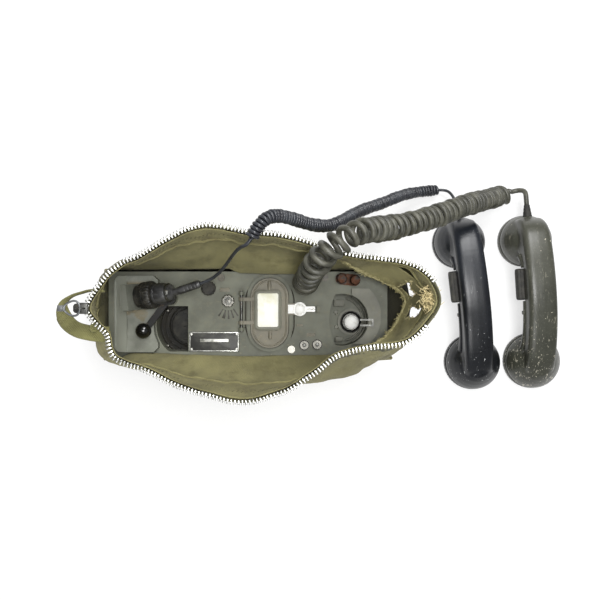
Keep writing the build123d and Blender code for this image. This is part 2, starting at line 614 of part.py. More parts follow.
drive = gear(HUB_AT, GEAR_TEETH, gear_low, gear_top, 0)
drive += post(HUB_AT, CRANK_SHAFT, shaft_end, PANEL_TOP + BUSH_HIGH + SEAT_GAP)
parts["drive_gear"] = drive

centres = GEAR_MODULE * (GEAR_TEETH + PINION_TEETH) / 2
PINION_AT = (HUB_AT[0] + centres * cos(radians(PINION_BEARING)),
             HUB_AT[1] + centres * sin(radians(PINION_BEARING)))
frame_low = FLOOR_IN_CASE
armature_low = frame_low + FRAME_PLATE + 6
pinion = gear((0, 0), PINION_TEETH, gear_low, gear_top, 0)
mesh_turn = PINION_BEARING + 180 + 180 / PINION_TEETH
gear_phase = (PINION_BEARING * GEAR_TEETH / 360) % 1 * 360 / PINION_TEETH
armature = Pos(PINION_AT[0], PINION_AT[1], 0) * Rot(0, 0, mesh_turn + gear_phase) * pinion
armature += post(PINION_AT, ARMATURE_SHAFT, frame_low + 1, gear_top)
armature += post(PINION_AT, ARMATURE_RADIUS, armature_low, frame_top - FRAME_PLATE - 4)
parts["armature"] = armature

frame_x = (PINION_AT[0] - POLE_BLOCK[0] / 2 - FRAME_MARGIN, HUB_AT[0] + FRAME_MARGIN)
frame_y = (PINION_AT[1] - POLE_BLOCK[1] / 2, HUB_AT[1] + FRAME_MARGIN)
gen = block(frame_x, frame_y, (frame_low, frame_low + FRAME_PLATE))
gen += block(frame_x, frame_y, (frame_top - FRAME_PLATE, frame_top))
gen += block((PINION_AT[0] - POLE_BLOCK[0] / 2, PINION_AT[0] + POLE_BLOCK[0] / 2),
             (PINION_AT[1] - POLE_BLOCK[1] / 2, PINION_AT[1] + POLE_BLOCK[1] / 2),
             (frame_low, frame_top))
gen -= post(PINION_AT, ARMATURE_RADIUS + POLE_GAP, armature_low - 1, frame_top - FRAME_PLATE)
gen -= post(PINION_AT, ARMATURE_SHAFT + RUN_GAP, frame_low + 1, frame_top + 1)
gen -= post(HUB_AT, CRANK_SHAFT + RUN_GAP, shaft_end - 1, frame_top + 1)
parts["generator_frame"] = gen

# ---- dish pad ----------------------------------------------------------------------
pad = (Pos(*DISH_CENTRE) * Circle(PAD_RADIUS)) & dish
parts["rest_pad"] = flat(pad, DISH_FLOOR, DISH_FLOOR + PAD_THICK)

# ---- selector, volume knob and board -----------------------------------------------
nut = post(SELECTOR_AT, SELECTOR_NUT, PANEL_TOP, PANEL_TOP + SELECTOR_NUT_HIGH)
nut -= post(SELECTOR_AT, SELECTOR_SHAFT + RUN_GAP, PANEL_TOP - 1, PANEL_TOP + 10)
for turn in range(0, 360, 60):
    notch_x = SELECTOR_AT[0] + SELECTOR_NUT * cos(radians(turn))
    notch_y = SELECTOR_AT[1] + SELECTOR_NUT * sin(radians(turn))
    nut -= post((notch_x, notch_y), 1.1, PANEL_TOP + 1, PANEL_TOP + 10)
parts["selector_nut"] = nut

dial_top = PANEL_TOP + SELECTOR_NUT_HIGH + 0.5
dial = post(SELECTOR_AT, SELECTOR_SHAFT, PANEL_BOTTOM - SHAFT_REACH, dial_top)
dial -= Pos(SELECTOR_AT[0], SELECTOR_AT[1], dial_top) * Box(
    SELECTOR_SLOT[0], 2 * SELECTOR_SHAFT, 2 * SELECTOR_SLOT[1])
parts["selector_dial"] = dial

volume_low = PANEL_TOP + SEAT_GAP
volume = post(VOLUME_AT, VOLUME_RADIUS, volume_low, volume_low + VOLUME_HIGH)
volume = fillet(volume.edges().group_by(Axis.Z)[-1], 1.5)
volume += post(VOLUME_AT, VOLUME_SHAFT, PANEL_BOTTOM - SHAFT_REACH, volume_low)
parts["volume_knob"] = volume

board_top = PANEL_BOTTOM - BOARD_DROP
board = block(BOARD_X, BOARD_Y, (board_top - BOARD_THICK, board_top))
for at, radius, shaft in ((SELECTOR_AT, 11.0, SELECTOR_SHAFT), (VOLUME_AT, 9.0, VOLUME_SHAFT)):
    board += post(at, radius, board_top, PANEL_BOTTOM)
    board -= post(at, shaft + RUN_GAP, PANEL_BOTTOM - SHAFT_REACH - SEAT_GAP, PANEL_BOTTOM + 1)
transformer = block((BOARD_X[0] + TRANSFORMER_INSET, BOARD_X[0] + TRANSFORMER_INSET + TRANSFORMER[0]),
                    (BOARD_Y[0] + TRANSFORMER_INSET, BOARD_Y[0] + TRANSFORMER_INSET + TRANSFORMER[1]),
                    (board_top, board_top + TRANSFORMER[2]))
parts["circuit_board"] = board + transformer

# ---- battery well, cells, lid ------------------------------------------------------
cell_floor = PANEL_BOTTOM - CELL_LONG - CELL_NUB[1] - CONTACT_THICK - 1
well_outer = (well_half[0] + WELL_WALL, well_half[1] + WELL_WALL)
well = flat(stadium(LID_AT, well_outer), cell_floor - WELL_WALL, PANEL_BOTTOM)
well -= flat(stadium(LID_AT, well_half), cell_floor, PANEL_BOTTOM + 1)
parts["battery_well"] = well

cell_places = [(LID_AT[0], LID_AT[1] - CELL_RADIUS), (LID_AT[0], LID_AT[1] + CELL_RADIUS)]
contact_top = cell_floor + CONTACT_THICK
contact = block((LID_AT[0] - 5, LID_AT[0] + 5), (cell_places[0][1] - 6, cell_places[1][1] + 6),
                (cell_floor, contact_top))
parts["battery_contact"] = contact

cells = []
for at in cell_places:
    can_top = contact_top + CELL_LONG
    cell = post(at, CELL_RADIUS - CELL_PLAY / 2, contact_top, can_top)
    cells.append(cell + post(at, CELL_NUB[0], can_top, can_top + CELL_NUB[1]))
parts["battery_cells"] = Compound(cells)

lid_low = PANEL_TOP + SEAT_GAP
lid_top = lid_low + LID_THICK
lid = flat(stadium(LID_AT, LID_HALF), lid_low, lid_top)
frame_outer = Pos(*WINDOW_AT) * RectangleRounded(*WINDOW_FRAME, 4)
window_plan = Pos(*WINDOW_AT) * RectangleRounded(*WINDOW_SIZE, 2.5)
lid += flat(frame_outer, lid_top, lid_top + WINDOW_FRAME_HIGH)
arm_z = (PANEL_TOP + RIM_HIGH + 0.6, PANEL_TOP + RIM_HIGH + 0.6 + 3.0)
for y in HINGE_ARM_Y:
    y_range = (y - HINGE_ARM_WIDE / 2, y + HINGE_ARM_WIDE / 2)
    lid += block((PIN_X, LID_AT[0] - LID_HALF[0] + 4), y_range, arm_z)
    lid += Pos(PIN_X, y, pin_level) * Rot(90, 0, 0) * Cylinder(KNUCKLE_RADIUS, HINGE_ARM_WIDE)
lug_right = (LATCH_AT[0], LATCH_AT[1])
lid += bar((LID_AT[0] + LID_HALF[0] - 6, LATCH_AT[1]), lug_right, 2 * LATCH_LUG_HALF,
           PANEL_TOP + RIM_HIGH + 0.6, lid_top)
lid += post(LATCH_AT, LATCH_PIN, lid_top, lid_top + SEAT_GAP + LATCH_THICK + 0.8)
lid -= flat(window_plan, lid_top + WINDOW_FRAME_HIGH - WINDOW_DEEP, lid_top + 10)
lid -= Pos(PIN_X, 0, pin_level) * Rot(90, 0, 0) * Cylinder(PIN_RADIUS + RUN_GAP, 90)
parts["battery_lid"] = lid

parts["lid_window"] = flat(offset(window_plan, -0.1), lid_top + WINDOW_FRAME_HIGH - WINDOW_DEEP,
                           lid_top + WINDOW_FRAME_HIGH - 0.6)
pin_half = HINGE_LUG_WIDE / 2 + 1
parts["lid_hinge_pin"] = Pos(
    PIN_X, (HINGE_LUG_Y[0] + HINGE_LUG_Y[1]) / 2, pin_level) * Rot(90, 0, 0) * Cylinder(
    PIN_RADIUS, HINGE_LUG_Y[1] - HINGE_LUG_Y[0] + 2 * pin_half)

latch_z = (lid_top + SEAT_GAP, lid_top + SEAT_GAP + LATCH_THICK)
latch = post(LATCH_AT, LATCH_RADIUS, *latch_z)
latch += block((LATCH_AT[0], LATCH_AT[0] + LATCH_ARM),
               (LATCH_AT[1] - LATCH_ARM_WIDE / 2 + 0.4, LATCH_AT[1] + LATCH_ARM_WIDE / 2 - 0.4), latch_z)
latch += block((LATCH_AT[0] - LATCH_TAIL, LATCH_AT[0]),
               (LATCH_AT[1] - LATCH_TAIL_WIDE / 2, LATCH_AT[1] + LATCH_TAIL_WIDE / 2), latch_z)
latch -= post(LATCH_AT, LATCH_PIN + RUN_GAP, latch_z[0] - 1, latch_z[1] + 1)
parts["latch_lever"] = latch

# ---- hook switch in the right recess -----------------------------------------------
button_low = RECESS_FLOOR + BUTTON_LIFT
button = post(BUTTON_AT, BUTTON_RADIUS, button_low, button_low + BUTTON_THICK)
button = fillet(button.edges().group_by(Axis.Z)[-1], 1.2)
button += post(BUTTON_AT, BUTTON_STEM, button_low - BUTTON_STEM_LONG, button_low)
parts["hook_button"] = button

ring_plan = Pos(*BUTTON_AT) * (Circle(RING_OUTER) - Circle(RING_INNER))
parts["cradle_ring"] = flat(ring_plan & offset(recess, -0.1), RECESS_FLOOR, RECESS_FLOOR + RING_HIGH)

spring_pitch = (BUTTON_LIFT - 2 * SPRING_WIRE) / SPRING_TURNS
spring_path = Pos(BUTTON_AT[0], BUTTON_AT[1], RECESS_FLOOR + SPRING_WIRE) * Helix(
    pitch=spring_pitch, height=spring_pitch * SPRING_TURNS, radius=SPRING_RADIUS)
spring_plane = Plane(origin=spring_path @ 0, z_dir=spring_path % 0)
parts["hook_spring"] = sweep(spring_plane * Circle(SPRING_WIRE), spring_path, is_frenet=True)

ridge = (Pos(*RIDGE_CENTRE) * Circle(RIDGE_RADIUS)) - offset(recess, 0.5)
ridge &= Pos((RIDGE_X[0] + RIDGE_X[1]) / 2, RIDGE_CENTRE[1]) * Rectangle(
    RIDGE_X[1] - RIDGE_X[0], 2 * RIDGE_RADIUS - 22)
parts["cradle_rest"] = flat(ridge, PANEL_TOP, PANEL_TOP + RIDGE_HIGH)

clip_z = PANEL_TOP + RIDGE_HIGH + CLIP_WIRE
recess_edge = RECESS_CENTRE[0] + RECESS_RADIUS
clip = None
for side in (-1, 1):
    y = BUTTON_AT[1] + side * CLIP_SPREAD / 2
    rod = block((recess_edge - 9, recess_edge + 6), (y - CLIP_WIRE, y + CLIP_WIRE),
                (clip_z - CLIP_WIRE, clip_z + CLIP_WIRE))
    clip = rod if clip is None else clip + rod
clip += block((recess_edge + 4, recess_edge + 6),
              (BUTTON_AT[1] - CLIP_SPREAD / 2, BUTTON_AT[1] + CLIP_SPREAD / 2),
              (clip_z - CLIP_WIRE, clip_z + CLIP_WIRE))
parts["cradle_clip"] = clip

# ---- terminals, posts, gland and buzzer --------------------------------------------
terminals = []
for at in TERMINAL_PLACES:
    piece = post(at, TERMINAL_RADIUS, PANEL_TOP, PANEL_TOP + TERMINAL_HIGH / 2)
    piece += post(at, TERMINAL_RADIUS - 1, PANEL_TOP, PANEL_TOP + TERMINAL_HIGH)
    piece -= post(at, TERMINAL_HOLE, PANEL_TOP + 1, PANEL_TOP + TERMINAL_HIGH + 1)
    terminals.append(piece)
parts["small_terminals"] = Compound(terminals)

post_low = PANEL_TOP + POST_PLATE
base_top = post_low + POST_BASE_HIGH
cap_low = base_top + POST_TRAVEL + SEAT_GAP
cap_top = cap_low + POST_CAP_HIGH
posts = bar(POST_PLACES[0], POST_PLACES[1], 2 * POST_BASE_RADIUS, PANEL_TOP, post_low)
for at in POST_PLACES:
    posts += post(at, POST_CAP_RADIUS, post_low, base_top)
    posts += post(at, POST_STUD, base_top, cap_top - POST_CAP_CROWN - POST_TRAVEL - SEAT_GAP)
parts["line_post_bases"] = posts
for index, at in enumerate(POST_PLACES, 1):
    cap = post(at, POST_CAP_RADIUS, cap_low, cap_top)
    cap = fillet(cap.edges().group_by(Axis.Z)[-1], 1.0)
    cap -= post(at, POST_STUD + RUN_GAP, cap_low - 1, cap_top - POST_CAP_CROWN)
    parts[f"line_post_cap_{index}"] = cap

gland = post(GLAND_AT, GLAND_RADIUS, PANEL_TOP, PANEL_TOP + GLAND_FLANGE)
gland += Pos(GLAND_AT[0], GLAND_AT[1], PANEL_TOP + (GLAND_FLANGE + GLAND_TOP) / 2) * Cone(
    GLAND_RADIUS - 1, GLAND_RADIUS - 3, GLAND_TOP - GLAND_FLANGE)
gland += post(GLAND_AT, GLAND_STEM, PANEL_BOTTOM - GLAND_REACH, PANEL_TOP)
parts["cord_gland"] = gland

parts["buzzer"] = post(BUZZER_AT, BUZZER_RADIUS, PANEL_BOTTOM - BUZZER_HIGH, PANEL_BOTTOM)


# ---- handsets ----------------------------------------------------------------------
def cap_cup(y, radius, holes):
    """A screw cap with a ring of sound holes in its face."""
    at = (0, y)
    cap = post(at, radius, 0, CAP_HIGH)
    cap -= post(at, radius - CAP_WALL, CAP_WALL, CAP_HIGH + 1)
    for turn in range(0, 360, 360 // holes):
        spot = (radius * 0.35 * cos(radians(turn)), y + radius * 0.35 * sin(radians(turn)))
        cap -= post(spot, 1.6, -1, CAP_WALL + 1)
    return cap


def handset_pieces():
    """The pieces of one handset, its middle at the origin and its ear end along +Y."""
    ear, mouth = CAP_SPAN / 2, -CAP_SPAN / 2
    side = Polyline(*HANDLE_BACK, *HANDLE_INSIDE, close=True)
    handle = extrude(Plane.YZ * make_face(side), HANDLE_WIDE / 2, both=True)
    long_edges = [e for e in handle.edges() if abs(abs(e.center().X) - HANDLE_WIDE / 2) < 0.1]
    handle = chamfer(long_edges, 5)
    shell = handle
    cup_low = CAP_HIGH + SEAT_GAP
    for y, radius, (top_radius, top) in (
            (ear, EAR_RADIUS, EAR_CUP_TOP), (mouth, MOUTH_RADIUS, MOUTH_CUP_TOP)):
        shell += Pos(0, y, (cup_low + top) / 2) * Cone(radius - 1, top_radius, top - cup_low)
    shell -= block((-80, 80), (-130, 130), (-10, cup_low))
    capsules = []
    for y, radius in ((ear, EAR_RADIUS), (mouth, MOUTH_RADIUS)):
        neck = radius - CAP_WALL - CAP_NECK_PLAY
        capsule = neck - CAPSULE_PLAY
        shell += post((0, y), neck, CAP_HIGH - NECK_HIGH, cup_low)
        shell -= post((0, y), capsule + SEAT_GAP, 0, CAP_WALL + CAPSULE_HIGH + 2)
        capsules.append(post((0, y), capsule, CAP_WALL, CAP_WALL + CAPSULE_HIGH))
    slot_x = (-HANDLE_WIDE / 2 - 1, -HANDLE_WIDE / 2 + TALK_IN + TALK_TRAVEL)
    shell -= block(slot_x, (TALK_Y[0] - TALK_PLAY, TALK_Y[1] + TALK_PLAY),
                   (TALK_Z[0] - TALK_PLAY, TALK_Z[1] + TALK_PLAY))
    boot_y = HANDLE_BACK[0][0] - 2
    collar = Pos(0, boot_y + 1.5, CORD_BOOT_Z) * Rot(90, 0, 0) * Cylinder(7, 5)
    shell += collar
    talk = block((-HANDLE_WIDE / 2 - TALK_OUT, -HANDLE_WIDE / 2 + TALK_IN - SEAT_GAP), TALK_Y, TALK_Z)
    talk = chamfer(talk.edges().filter_by(Axis.Y).sort_by(Axis.X)[:2], 2)
    boot_from = boot_y + 4
    return {"shell": shell, "capsules": Compound(capsules), "talk_bar": talk,
            "ear_cap": cap_cup(ear, EAR_RADIUS, 6), "mouth_cap": cap_cup(mouth, MOUTH_RADIUS, 6)}, boot_from


cord_ends = {}
for side, (x, y, turn), wire, boot_long in (
        ("left", LEFT_HANDSET, THIN_WIRE, LEFT_BOOT_LONG),
        ("right", RIGHT_HANDSET, THICK_WIRE, RIGHT_BOOT_LONG)):
    place = Pos(x, y, 0) * Rot(0, 0, turn)
    pieces, boot_from = handset_pieces()
    for name, piece in pieces.items():
        parts[f"{side}_{name}"] = place * piece
    taper = Cone(wire / 2 + 2.4, wire / 2 + 0.2, boot_long)
    boot_local = Pos(0, boot_from + boot_long / 2, CORD_BOOT_Z) * Rot(-90, 0, 0) * taper
    parts[f"{side}_boot"] = place * boot_local
    ends = [place * Pos(0, boot_from + boot_long + step, CORD_BOOT_Z) for step in (LEAD_IN, 0)]
    cord_ends[side] = [tuple(end.position) for end in ends]

# ---- cords -------------------------------------------------------------------------
gland_end = (GLAND_AT[0], GLAND_AT[1], PANEL_TOP + GLAND_TOP)
plug_lead = [tuple(boot_end), tuple(boot_end + boot_axis * LEAD_IN), *THIN_LEAD_ROUTE]
plug_lead += [beyond(THIN_COIL_ROUTE[1], THIN_COIL_ROUTE[0], LEAD_IN), THIN_COIL_ROUTE[0]]
thin_tail = [THIN_COIL_ROUTE[-1], beyond(THIN_COIL_ROUTE[-2], THIN_COIL_ROUTE[-1], LEAD_IN)]
thin_tail += [*THIN_TAIL_ROUTE, *cord_ends["left"]]
thick_tail = [THICK_COIL_ROUTE[-1], beyond(THICK_COIL_ROUTE[-2], THICK_COIL_ROUTE[-1], LEAD_IN)]
thick_tail += [*THICK_LEAD_ROUTE, *cord_ends["right"]]
for name, route, diameter in (
        ("thin_lead_plug", plug_lead, THIN_WIRE), ("thin_coil", THIN_COIL_ROUTE, THIN_COIL),
        ("thin_lead_handset", thin_tail, THIN_WIRE),
        ("thick_coil", [gland_end, *THICK_COIL_ROUTE], THICK_COIL),
        ("thick_lead", thick_tail, THICK_WIRE)):
    parts[name] = tube(name, route, diameter)

os.makedirs("parts", exist_ok=True)
for name, shape in parts.items():
    export_step(shape, f"parts/{name}.step")
print(len(parts), "parts")
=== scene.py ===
"""Field telephone set in a zipped canvas bag, with two handsets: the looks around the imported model."""
import math
import random

import bmesh
import bpy
import numpy as np
from mathutils import Matrix, Vector, noise


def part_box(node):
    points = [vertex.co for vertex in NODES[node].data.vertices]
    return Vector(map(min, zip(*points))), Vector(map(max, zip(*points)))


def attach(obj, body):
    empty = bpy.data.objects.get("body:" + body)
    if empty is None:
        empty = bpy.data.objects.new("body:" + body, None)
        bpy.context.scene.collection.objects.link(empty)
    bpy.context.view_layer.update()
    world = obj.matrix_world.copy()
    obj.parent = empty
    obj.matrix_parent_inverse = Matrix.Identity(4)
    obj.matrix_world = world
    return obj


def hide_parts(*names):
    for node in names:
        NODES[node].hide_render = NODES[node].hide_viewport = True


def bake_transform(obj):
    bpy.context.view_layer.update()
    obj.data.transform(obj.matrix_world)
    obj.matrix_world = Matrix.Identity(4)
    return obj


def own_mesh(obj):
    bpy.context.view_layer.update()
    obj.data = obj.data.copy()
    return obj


bl_info = {
    "name": "Field telephone set",
    "version": (1, 0, 0),
    "blender": (4, 5, 0),
    "location": "View3D > Sidebar > Field set",
    "description": "Builds the bag, cords, handsets, controls and finishes of a field telephone",
    "category": "Object",
}

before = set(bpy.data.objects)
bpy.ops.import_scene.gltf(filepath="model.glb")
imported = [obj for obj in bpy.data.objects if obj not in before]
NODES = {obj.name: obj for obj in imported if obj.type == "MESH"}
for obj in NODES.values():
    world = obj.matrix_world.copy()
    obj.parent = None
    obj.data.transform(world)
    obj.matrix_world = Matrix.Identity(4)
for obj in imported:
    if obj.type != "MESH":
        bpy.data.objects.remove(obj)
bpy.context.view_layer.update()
MM = 0.001

# ---- sizes shared with the model, in millimetres ------------------------------------
PANEL = 115
RIM = 215
BELLY_Z = 165
FOOT_Z = 3
CASE_HALF = np.array([156.7, 48.7])
CANVAS = 2.5
DISH_FLOOR = 91
RECESS_FLOOR = 89

# Plan stations round the bag at its mouth, its belly and its foot (the foot in half sizes).
MOUTH = [
    (-153, 11), (-136, 36), (-118, 52.5), (-98, 61.5), (-74, 76), (-38, 90),
    (3, 84), (50, 78), (98, 63), (132, 57.5), (167, 52),
    (188, 38), (197, 14), (182, -11), (163, -25.5), (130, -30),
    (95, -38.5), (70, -58), (38, -76), (-4, -84.5), (-62, -68.5),
    (-93, -54), (-125, -41), (-134, -17), (-146, -5)]
BELLY = [
    (-158, 10), (-153, 38), (-132, 53), (-106, 59.5), (-78, 67), (-38, 74),
    (3, 72), (50, 69), (98, 64), (134, 61), (166, 55),
    (178, 38), (182, 10), (177, -16), (160, -37), (134, -51),
    (98, -66), (70, -70), (38, -72), (-4, -72), (-62, -66),
    (-93, -59), (-135, -52), (-155, -38), (-158, -12)]
FOOT = [
    (-1, 0.25), (-1, 0.92), (-0.97, 1), (-0.72, 1), (-0.5, 1), (-0.25, 1),
    (0.02, 1), (0.32, 1), (0.6, 1), (0.8, 1), (0.97, 1),
    (1, 0.92), (1, 0.2), (1, -0.5), (1, -0.92), (0.97, -1),
    (0.6, -1), (0.42, -1), (0.22, -1), (-0.02, -1), (-0.4, -1),
    (-0.62, -1), (-0.97, -1), (-1, -0.92), (-1, -0.3)]

# Cord routes, point by point, in metres.
THIN_LEAD_PLUG = [
    (-0.0469, 0.0336, 0.1663), (-0.0396, 0.0357, 0.1688), (-0.028, 0.042, 0.176),
    (-0.017, 0.0525, 0.193), (-0.008, 0.062, 0.213), (0, 0.068, 0.229),
    (0.0071, 0.0692, 0.2355), (0.011, 0.076, 0.237)]
THIN_COIL = [
    (0.011, 0.076, 0.237), (0.019, 0.09, 0.24), (0.031, 0.099, 0.231), (0.048, 0.0985, 0.211),
    (0.07, 0.093, 0.188), (0.091, 0.094, 0.164), (0.107, 0.104, 0.139), (0.128, 0.118, 0.108),
    (0.156, 0.13, 0.072), (0.18, 0.143, 0.04), (0.206, 0.1515, 0.014), (0.231, 0.154, 0.008)]
THIN_LEAD_HANDSET = [
    (0.231, 0.154, 0.008), (0.2387, 0.1548, 0.0061), (0.2465, 0.1505, 0.013),
    (0.2514, 0.1325, 0.03), (0.2523, 0.1246, 0.03)]
THICK_COIL = [
    (0.064, 0.0346, 0.131), (0.064, 0.0346, 0.153), (0.066, 0.038, 0.18), (0.069, 0.044, 0.21),
    (0.076, 0.054, 0.237), (0.091, 0.0685, 0.249), (0.11, 0.0805, 0.243), (0.125, 0.085, 0.224),
    (0.14, 0.088, 0.201), (0.16, 0.0925, 0.178), (0.188, 0.1015, 0.15), (0.215, 0.111, 0.123),
    (0.242, 0.123, 0.099), (0.264, 0.1305, 0.075), (0.283, 0.137, 0.05), (0.297, 0.1418, 0.031),
    (0.3095, 0.1463, 0.0195), (0.321, 0.1504, 0.017)]
THICK_LEAD = [
    (0.321, 0.1504, 0.017), (0.3284, 0.153, 0.0154), (0.336, 0.151, 0.025),
    (0.3358, 0.141, 0.03), (0.3363, 0.133, 0.03)]

# The eye above the set, and how wide one pixel is for each millimetre below it.
EYE = (58.2, 16.2, 1000)
PIXEL = 1.2655e-3
# Two torn holes at the bag's right end, in pixels as seen, and the frayed flap's edge.
TORN = (
    [(99.4, 13.7), (108.8, 18.9), (111, 18), (111, 10.3), (116.5, 6.9), (111, 1.7)],
    [(111, -5.1), (118.3, -8.6), (123, -6), (122.5, -9.4), (116.5, -17.1), (105.4, -18.4)])
FLAP_EDGE = [
    (96, 62, 182), (115.6, 50, 166), (130, 43.5, 150), (143.4, 38.4, 142),
    (156.1, 32.1, 144), (167, 24, 149), (171.5, 14.4, 153), (168, 4.3, 150),
    (160.5, -11.7, 144), (151.3, -23.3, 142), (139, -30.5, 150), (124, -41, 166)]


def tone(red, green, blue):
    """A linear colour from the 0 to 255 numbers of a colour picker."""
    parts = [value / 255 for value in (red, green, blue)]
    return tuple(v / 12.92 if v <= 0.04045 else ((v + 0.055) / 1.055) ** 2.4 for v in parts)


# ---- what a user would change -------------------------------------------------------
def length(name, description, default):
    """A size property, in metres."""
    return bpy.props.FloatProperty(name=name, description=description, default=default * MM,
                                   unit="LENGTH", subtype="DISTANCE", precision=4)


def colour(name, description, default):
    """A colour property."""
    return bpy.props.FloatVectorProperty(name=name, description=description, size=3, min=0, max=1,
                                         subtype="COLOR", default=tone(*default))


class FieldSetSizes(bpy.types.PropertyGroup):
    """Sizes of the pieces that are drawn here."""
    thin_wire: length("Thin wire", "Diameter of the thin cord's wire", 3.6)
    thin_coil: length("Thin coil", "Outside diameter of the thin curly cord", 14)
    thin_pitch: length("Thin pitch", "Distance between the thin cord's turns", 3.75)
    thick_wire: length("Thick wire", "Diameter of the thick cord's wire", 6)
    thick_coil: length("Thick coil", "Outside diameter of the thick curly cord", 28)
    thick_pitch: length("Thick pitch", "Distance between the thick cord's turns", 9.3)
    tooth_pitch: length("Tooth pitch", "Distance between the zipper's teeth", 3.5)
    tooth_long: length("Tooth length", "Length of one zipper tooth", 5.2)
    stitch_long: length("Stitch length", "Length of one stitch in the canvas", 3.2)
    webbing_wide: length("Webbing width", "Width of the loop's webbing", 13)


class FieldSetColours(bpy.types.PropertyGroup):
    """Colours of the finishes."""
    canvas: colour("Canvas", "Olive canvas of the bag", (136, 131, 90))
    webbing: colour("Webbing", "Webbing of the loop", (126, 124, 78))
    panel: colour("Panel", "Paint of the case's panel", (104, 106, 93))
    case: colour("Case", "Paint of the case", (62, 62, 52))
    navy: colour("Left handset", "Plastic of the left handset", (16, 18, 22))
    olive: colour("Right handset", "Plastic of the right handset", (56, 57, 49))
    thin_cord: colour("Thin cord", "Sleeve of the thin cord", (44, 45, 50))
    thick_cord: colour("Thick cord", "Sleeve of the thick cord", (62, 62, 54))
    floor: colour("Floor", "Floor and backdrop", (254, 254, 254))


def sizes():
    return bpy.context.scene.field_set_sizes


def colours():
    return bpy.context.scene.field_set_colours


# ---- shader maths -------------------------------------------------------------------
class Flow:
    """A socket that takes part in sums; every sum adds its Math node."""

    def __init__(self, finish, socket):
        self.finish, self.socket = finish, socket

    def sum(self, operation, *values):
        return self.finish.node("ShaderNodeMath", dict(enumerate(values)), operation=operation)

    def __add__(self, other):
        return self.sum("ADD", self, other)

    def __sub__(self, other):
        return self.sum("SUBTRACT", self, other)

    def __rsub__(self, other):
        return self.sum("SUBTRACT", other, self)

    def __mul__(self, other):
        return self.sum("MULTIPLY", self, other)

    def sine(self):
        return self.sum("SINE", self)

    def larger(self, other):
        return self.sum("MAXIMUM", self, other)

    def ramp(self, low, high):
        """0 below low, 1 above high and smooth between them."""
        values = {0: self, 1: low, 2: high}
        return self.finish.node("ShaderNodeMapRange", values, interpolation_type="SMOOTHSTEP")


class Finish:
    """One material: its tree, its coordinates and its shader."""

    def __init__(self, name):
        self.material = bpy.data.materials.new(name)
        self.material.use_nodes = True
        self.tree = self.material.node_tree
        self.tree.nodes.clear()
        self.place = self.node("ShaderNodeTexCoord", out=3)

    def node(self, kind, values=None, out=0, **settings):
        """A node of any type: its settings first, then the values or links of its sockets."""
        made = self.tree.nodes.new(kind)
        for key, value in settings.items():
            setattr(made, key, value)
        for key, value in (values or {}).items():
            if isinstance(value, Flow):
                self.tree.links.new(value.socket, made.inputs[key])
            else:
                made.inputs[key].default_value = value
        return Flow(self, made.outputs[out]) if made.outputs else None

    def axes(self):
        """The place's three coordinates."""
        return [self.node("ShaderNodeSeparateXYZ", {0: self.place}, out=i) for i in range(3)]

    def noise(self, scale, detail=3, rough=0.55, at=None, warp=0):
        values = {"Vector": at or self.place, "Scale": scale, "Detail": detail, "Roughness": rough,
                  "Distortion": warp}
        return self.node("ShaderNodeTexNoise", values)

    def cells(self, scale, feature="F1"):
        values = {"Vector": self.place, "Scale": scale, "Randomness": 1.0}
        return self.node("ShaderNodeTexVoronoi", values, feature=feature)

    def stretch(self, *factors):
        """The place with each axis scaled, for streaks."""
        return self.node("ShaderNodeVectorMath", {0: self.place, 1: factors}, operation="MULTIPLY")

    def mix(self, share, first, second):
        """A colour between two colours."""
        values = {0: share, 6: self.shade(first), 7: self.shade(second)}
        return self.node("ShaderNodeMix", values, out=2, data_type="RGBA")

    @staticmethod
    def shade(value):
        return value if isinstance(value, Flow) else (*tuple(value)[:3], 1)

    def bump(self, height, relief):
        """A normal from a height, with the relief in millimetres."""
        values = {"Height": height, "Distance": relief * MM, "Strength": 1.0}
        return self.node("ShaderNodeBump", values)

    def surface(self, base, rough, normal, metal=0, **constants):
        """The shader and the output."""
        values = {"Base Color": self.shade(base), "Roughness": rough, "Metallic": metal, "Normal": normal}
        values.update({key.replace("_", " "): value for key, value in constants.items()})
        return self.output(self.node("ShaderNodeBsdfPrincipled", values))

    def output(self, shader):
        self.node("ShaderNodeOutputMaterial", {0: shader})
        return self.material


FINISHES = {}


def finish(name):
    """The named finish, made on first use from its row: a maker, its colours and its numbers."""
    if name not in FINISHES:
        maker, shades, *values = ROWS[name]
        shades = [getattr(colours(), v) if isinstance(v, str) else v and tone(*v) for v in shades]
        FINISHES[name] = maker(Finish(name), *shades, *values)
    return FINISHES[name]


def brighter(shade, factor):
    """A colour made lighter or darker."""
    return tuple(min(1, channel * factor) for channel in tuple(shade)[:3])


# ---- finishes for many pieces -------------------------------------------------------
def cloth(f, base, dirt_and_shade, fade, pitch, relief, lift=1):
    """Plain woven cloth: threads both ways with painted shade in the gaps between them, faded ridges, stains
    and fine fibres.
    """
    base = brighter(base, lift)
    x, y, z = f.axes()
    turn = 2 * math.pi / (pitch * MM)
    warp = ((x + y * 0.83) * turn).sine()
    weft = ((z + y * 0.21) * turn).sine()
    weave = warp * weft * 0.5 + 0.5
    slub = f.noise(900, 2)
    blotch = f.noise(14, 5, 0.6)
    cloud = f.noise(45, 4, 0.6)
    fleck = f.noise(260, 3, 0.7)
    shade = f.mix(blotch.ramp(0.35, 0.66), brighter(base, 0.76), brighter(base, 1.2))
    shade = f.mix(cloud.ramp(0.5, 0.72) * 0.65, shade, dirt_and_shade)
    shade = f.mix(fleck.ramp(0.55, 0.8) * 0.45, shade, fade)
    # Painted shade: the gaps between the threads are darkened towards a dark dirt colour.
    shade = f.mix((1 - weave) * 0.38, shade, brighter(dirt_and_shade, 0.55))
    normal = f.bump(weave * 0.7 + slub * 0.35, relief)
    return f.surface(shade, 0.93, normal, Sheen_Weight=0.06, Sheen_Roughness=0.5)


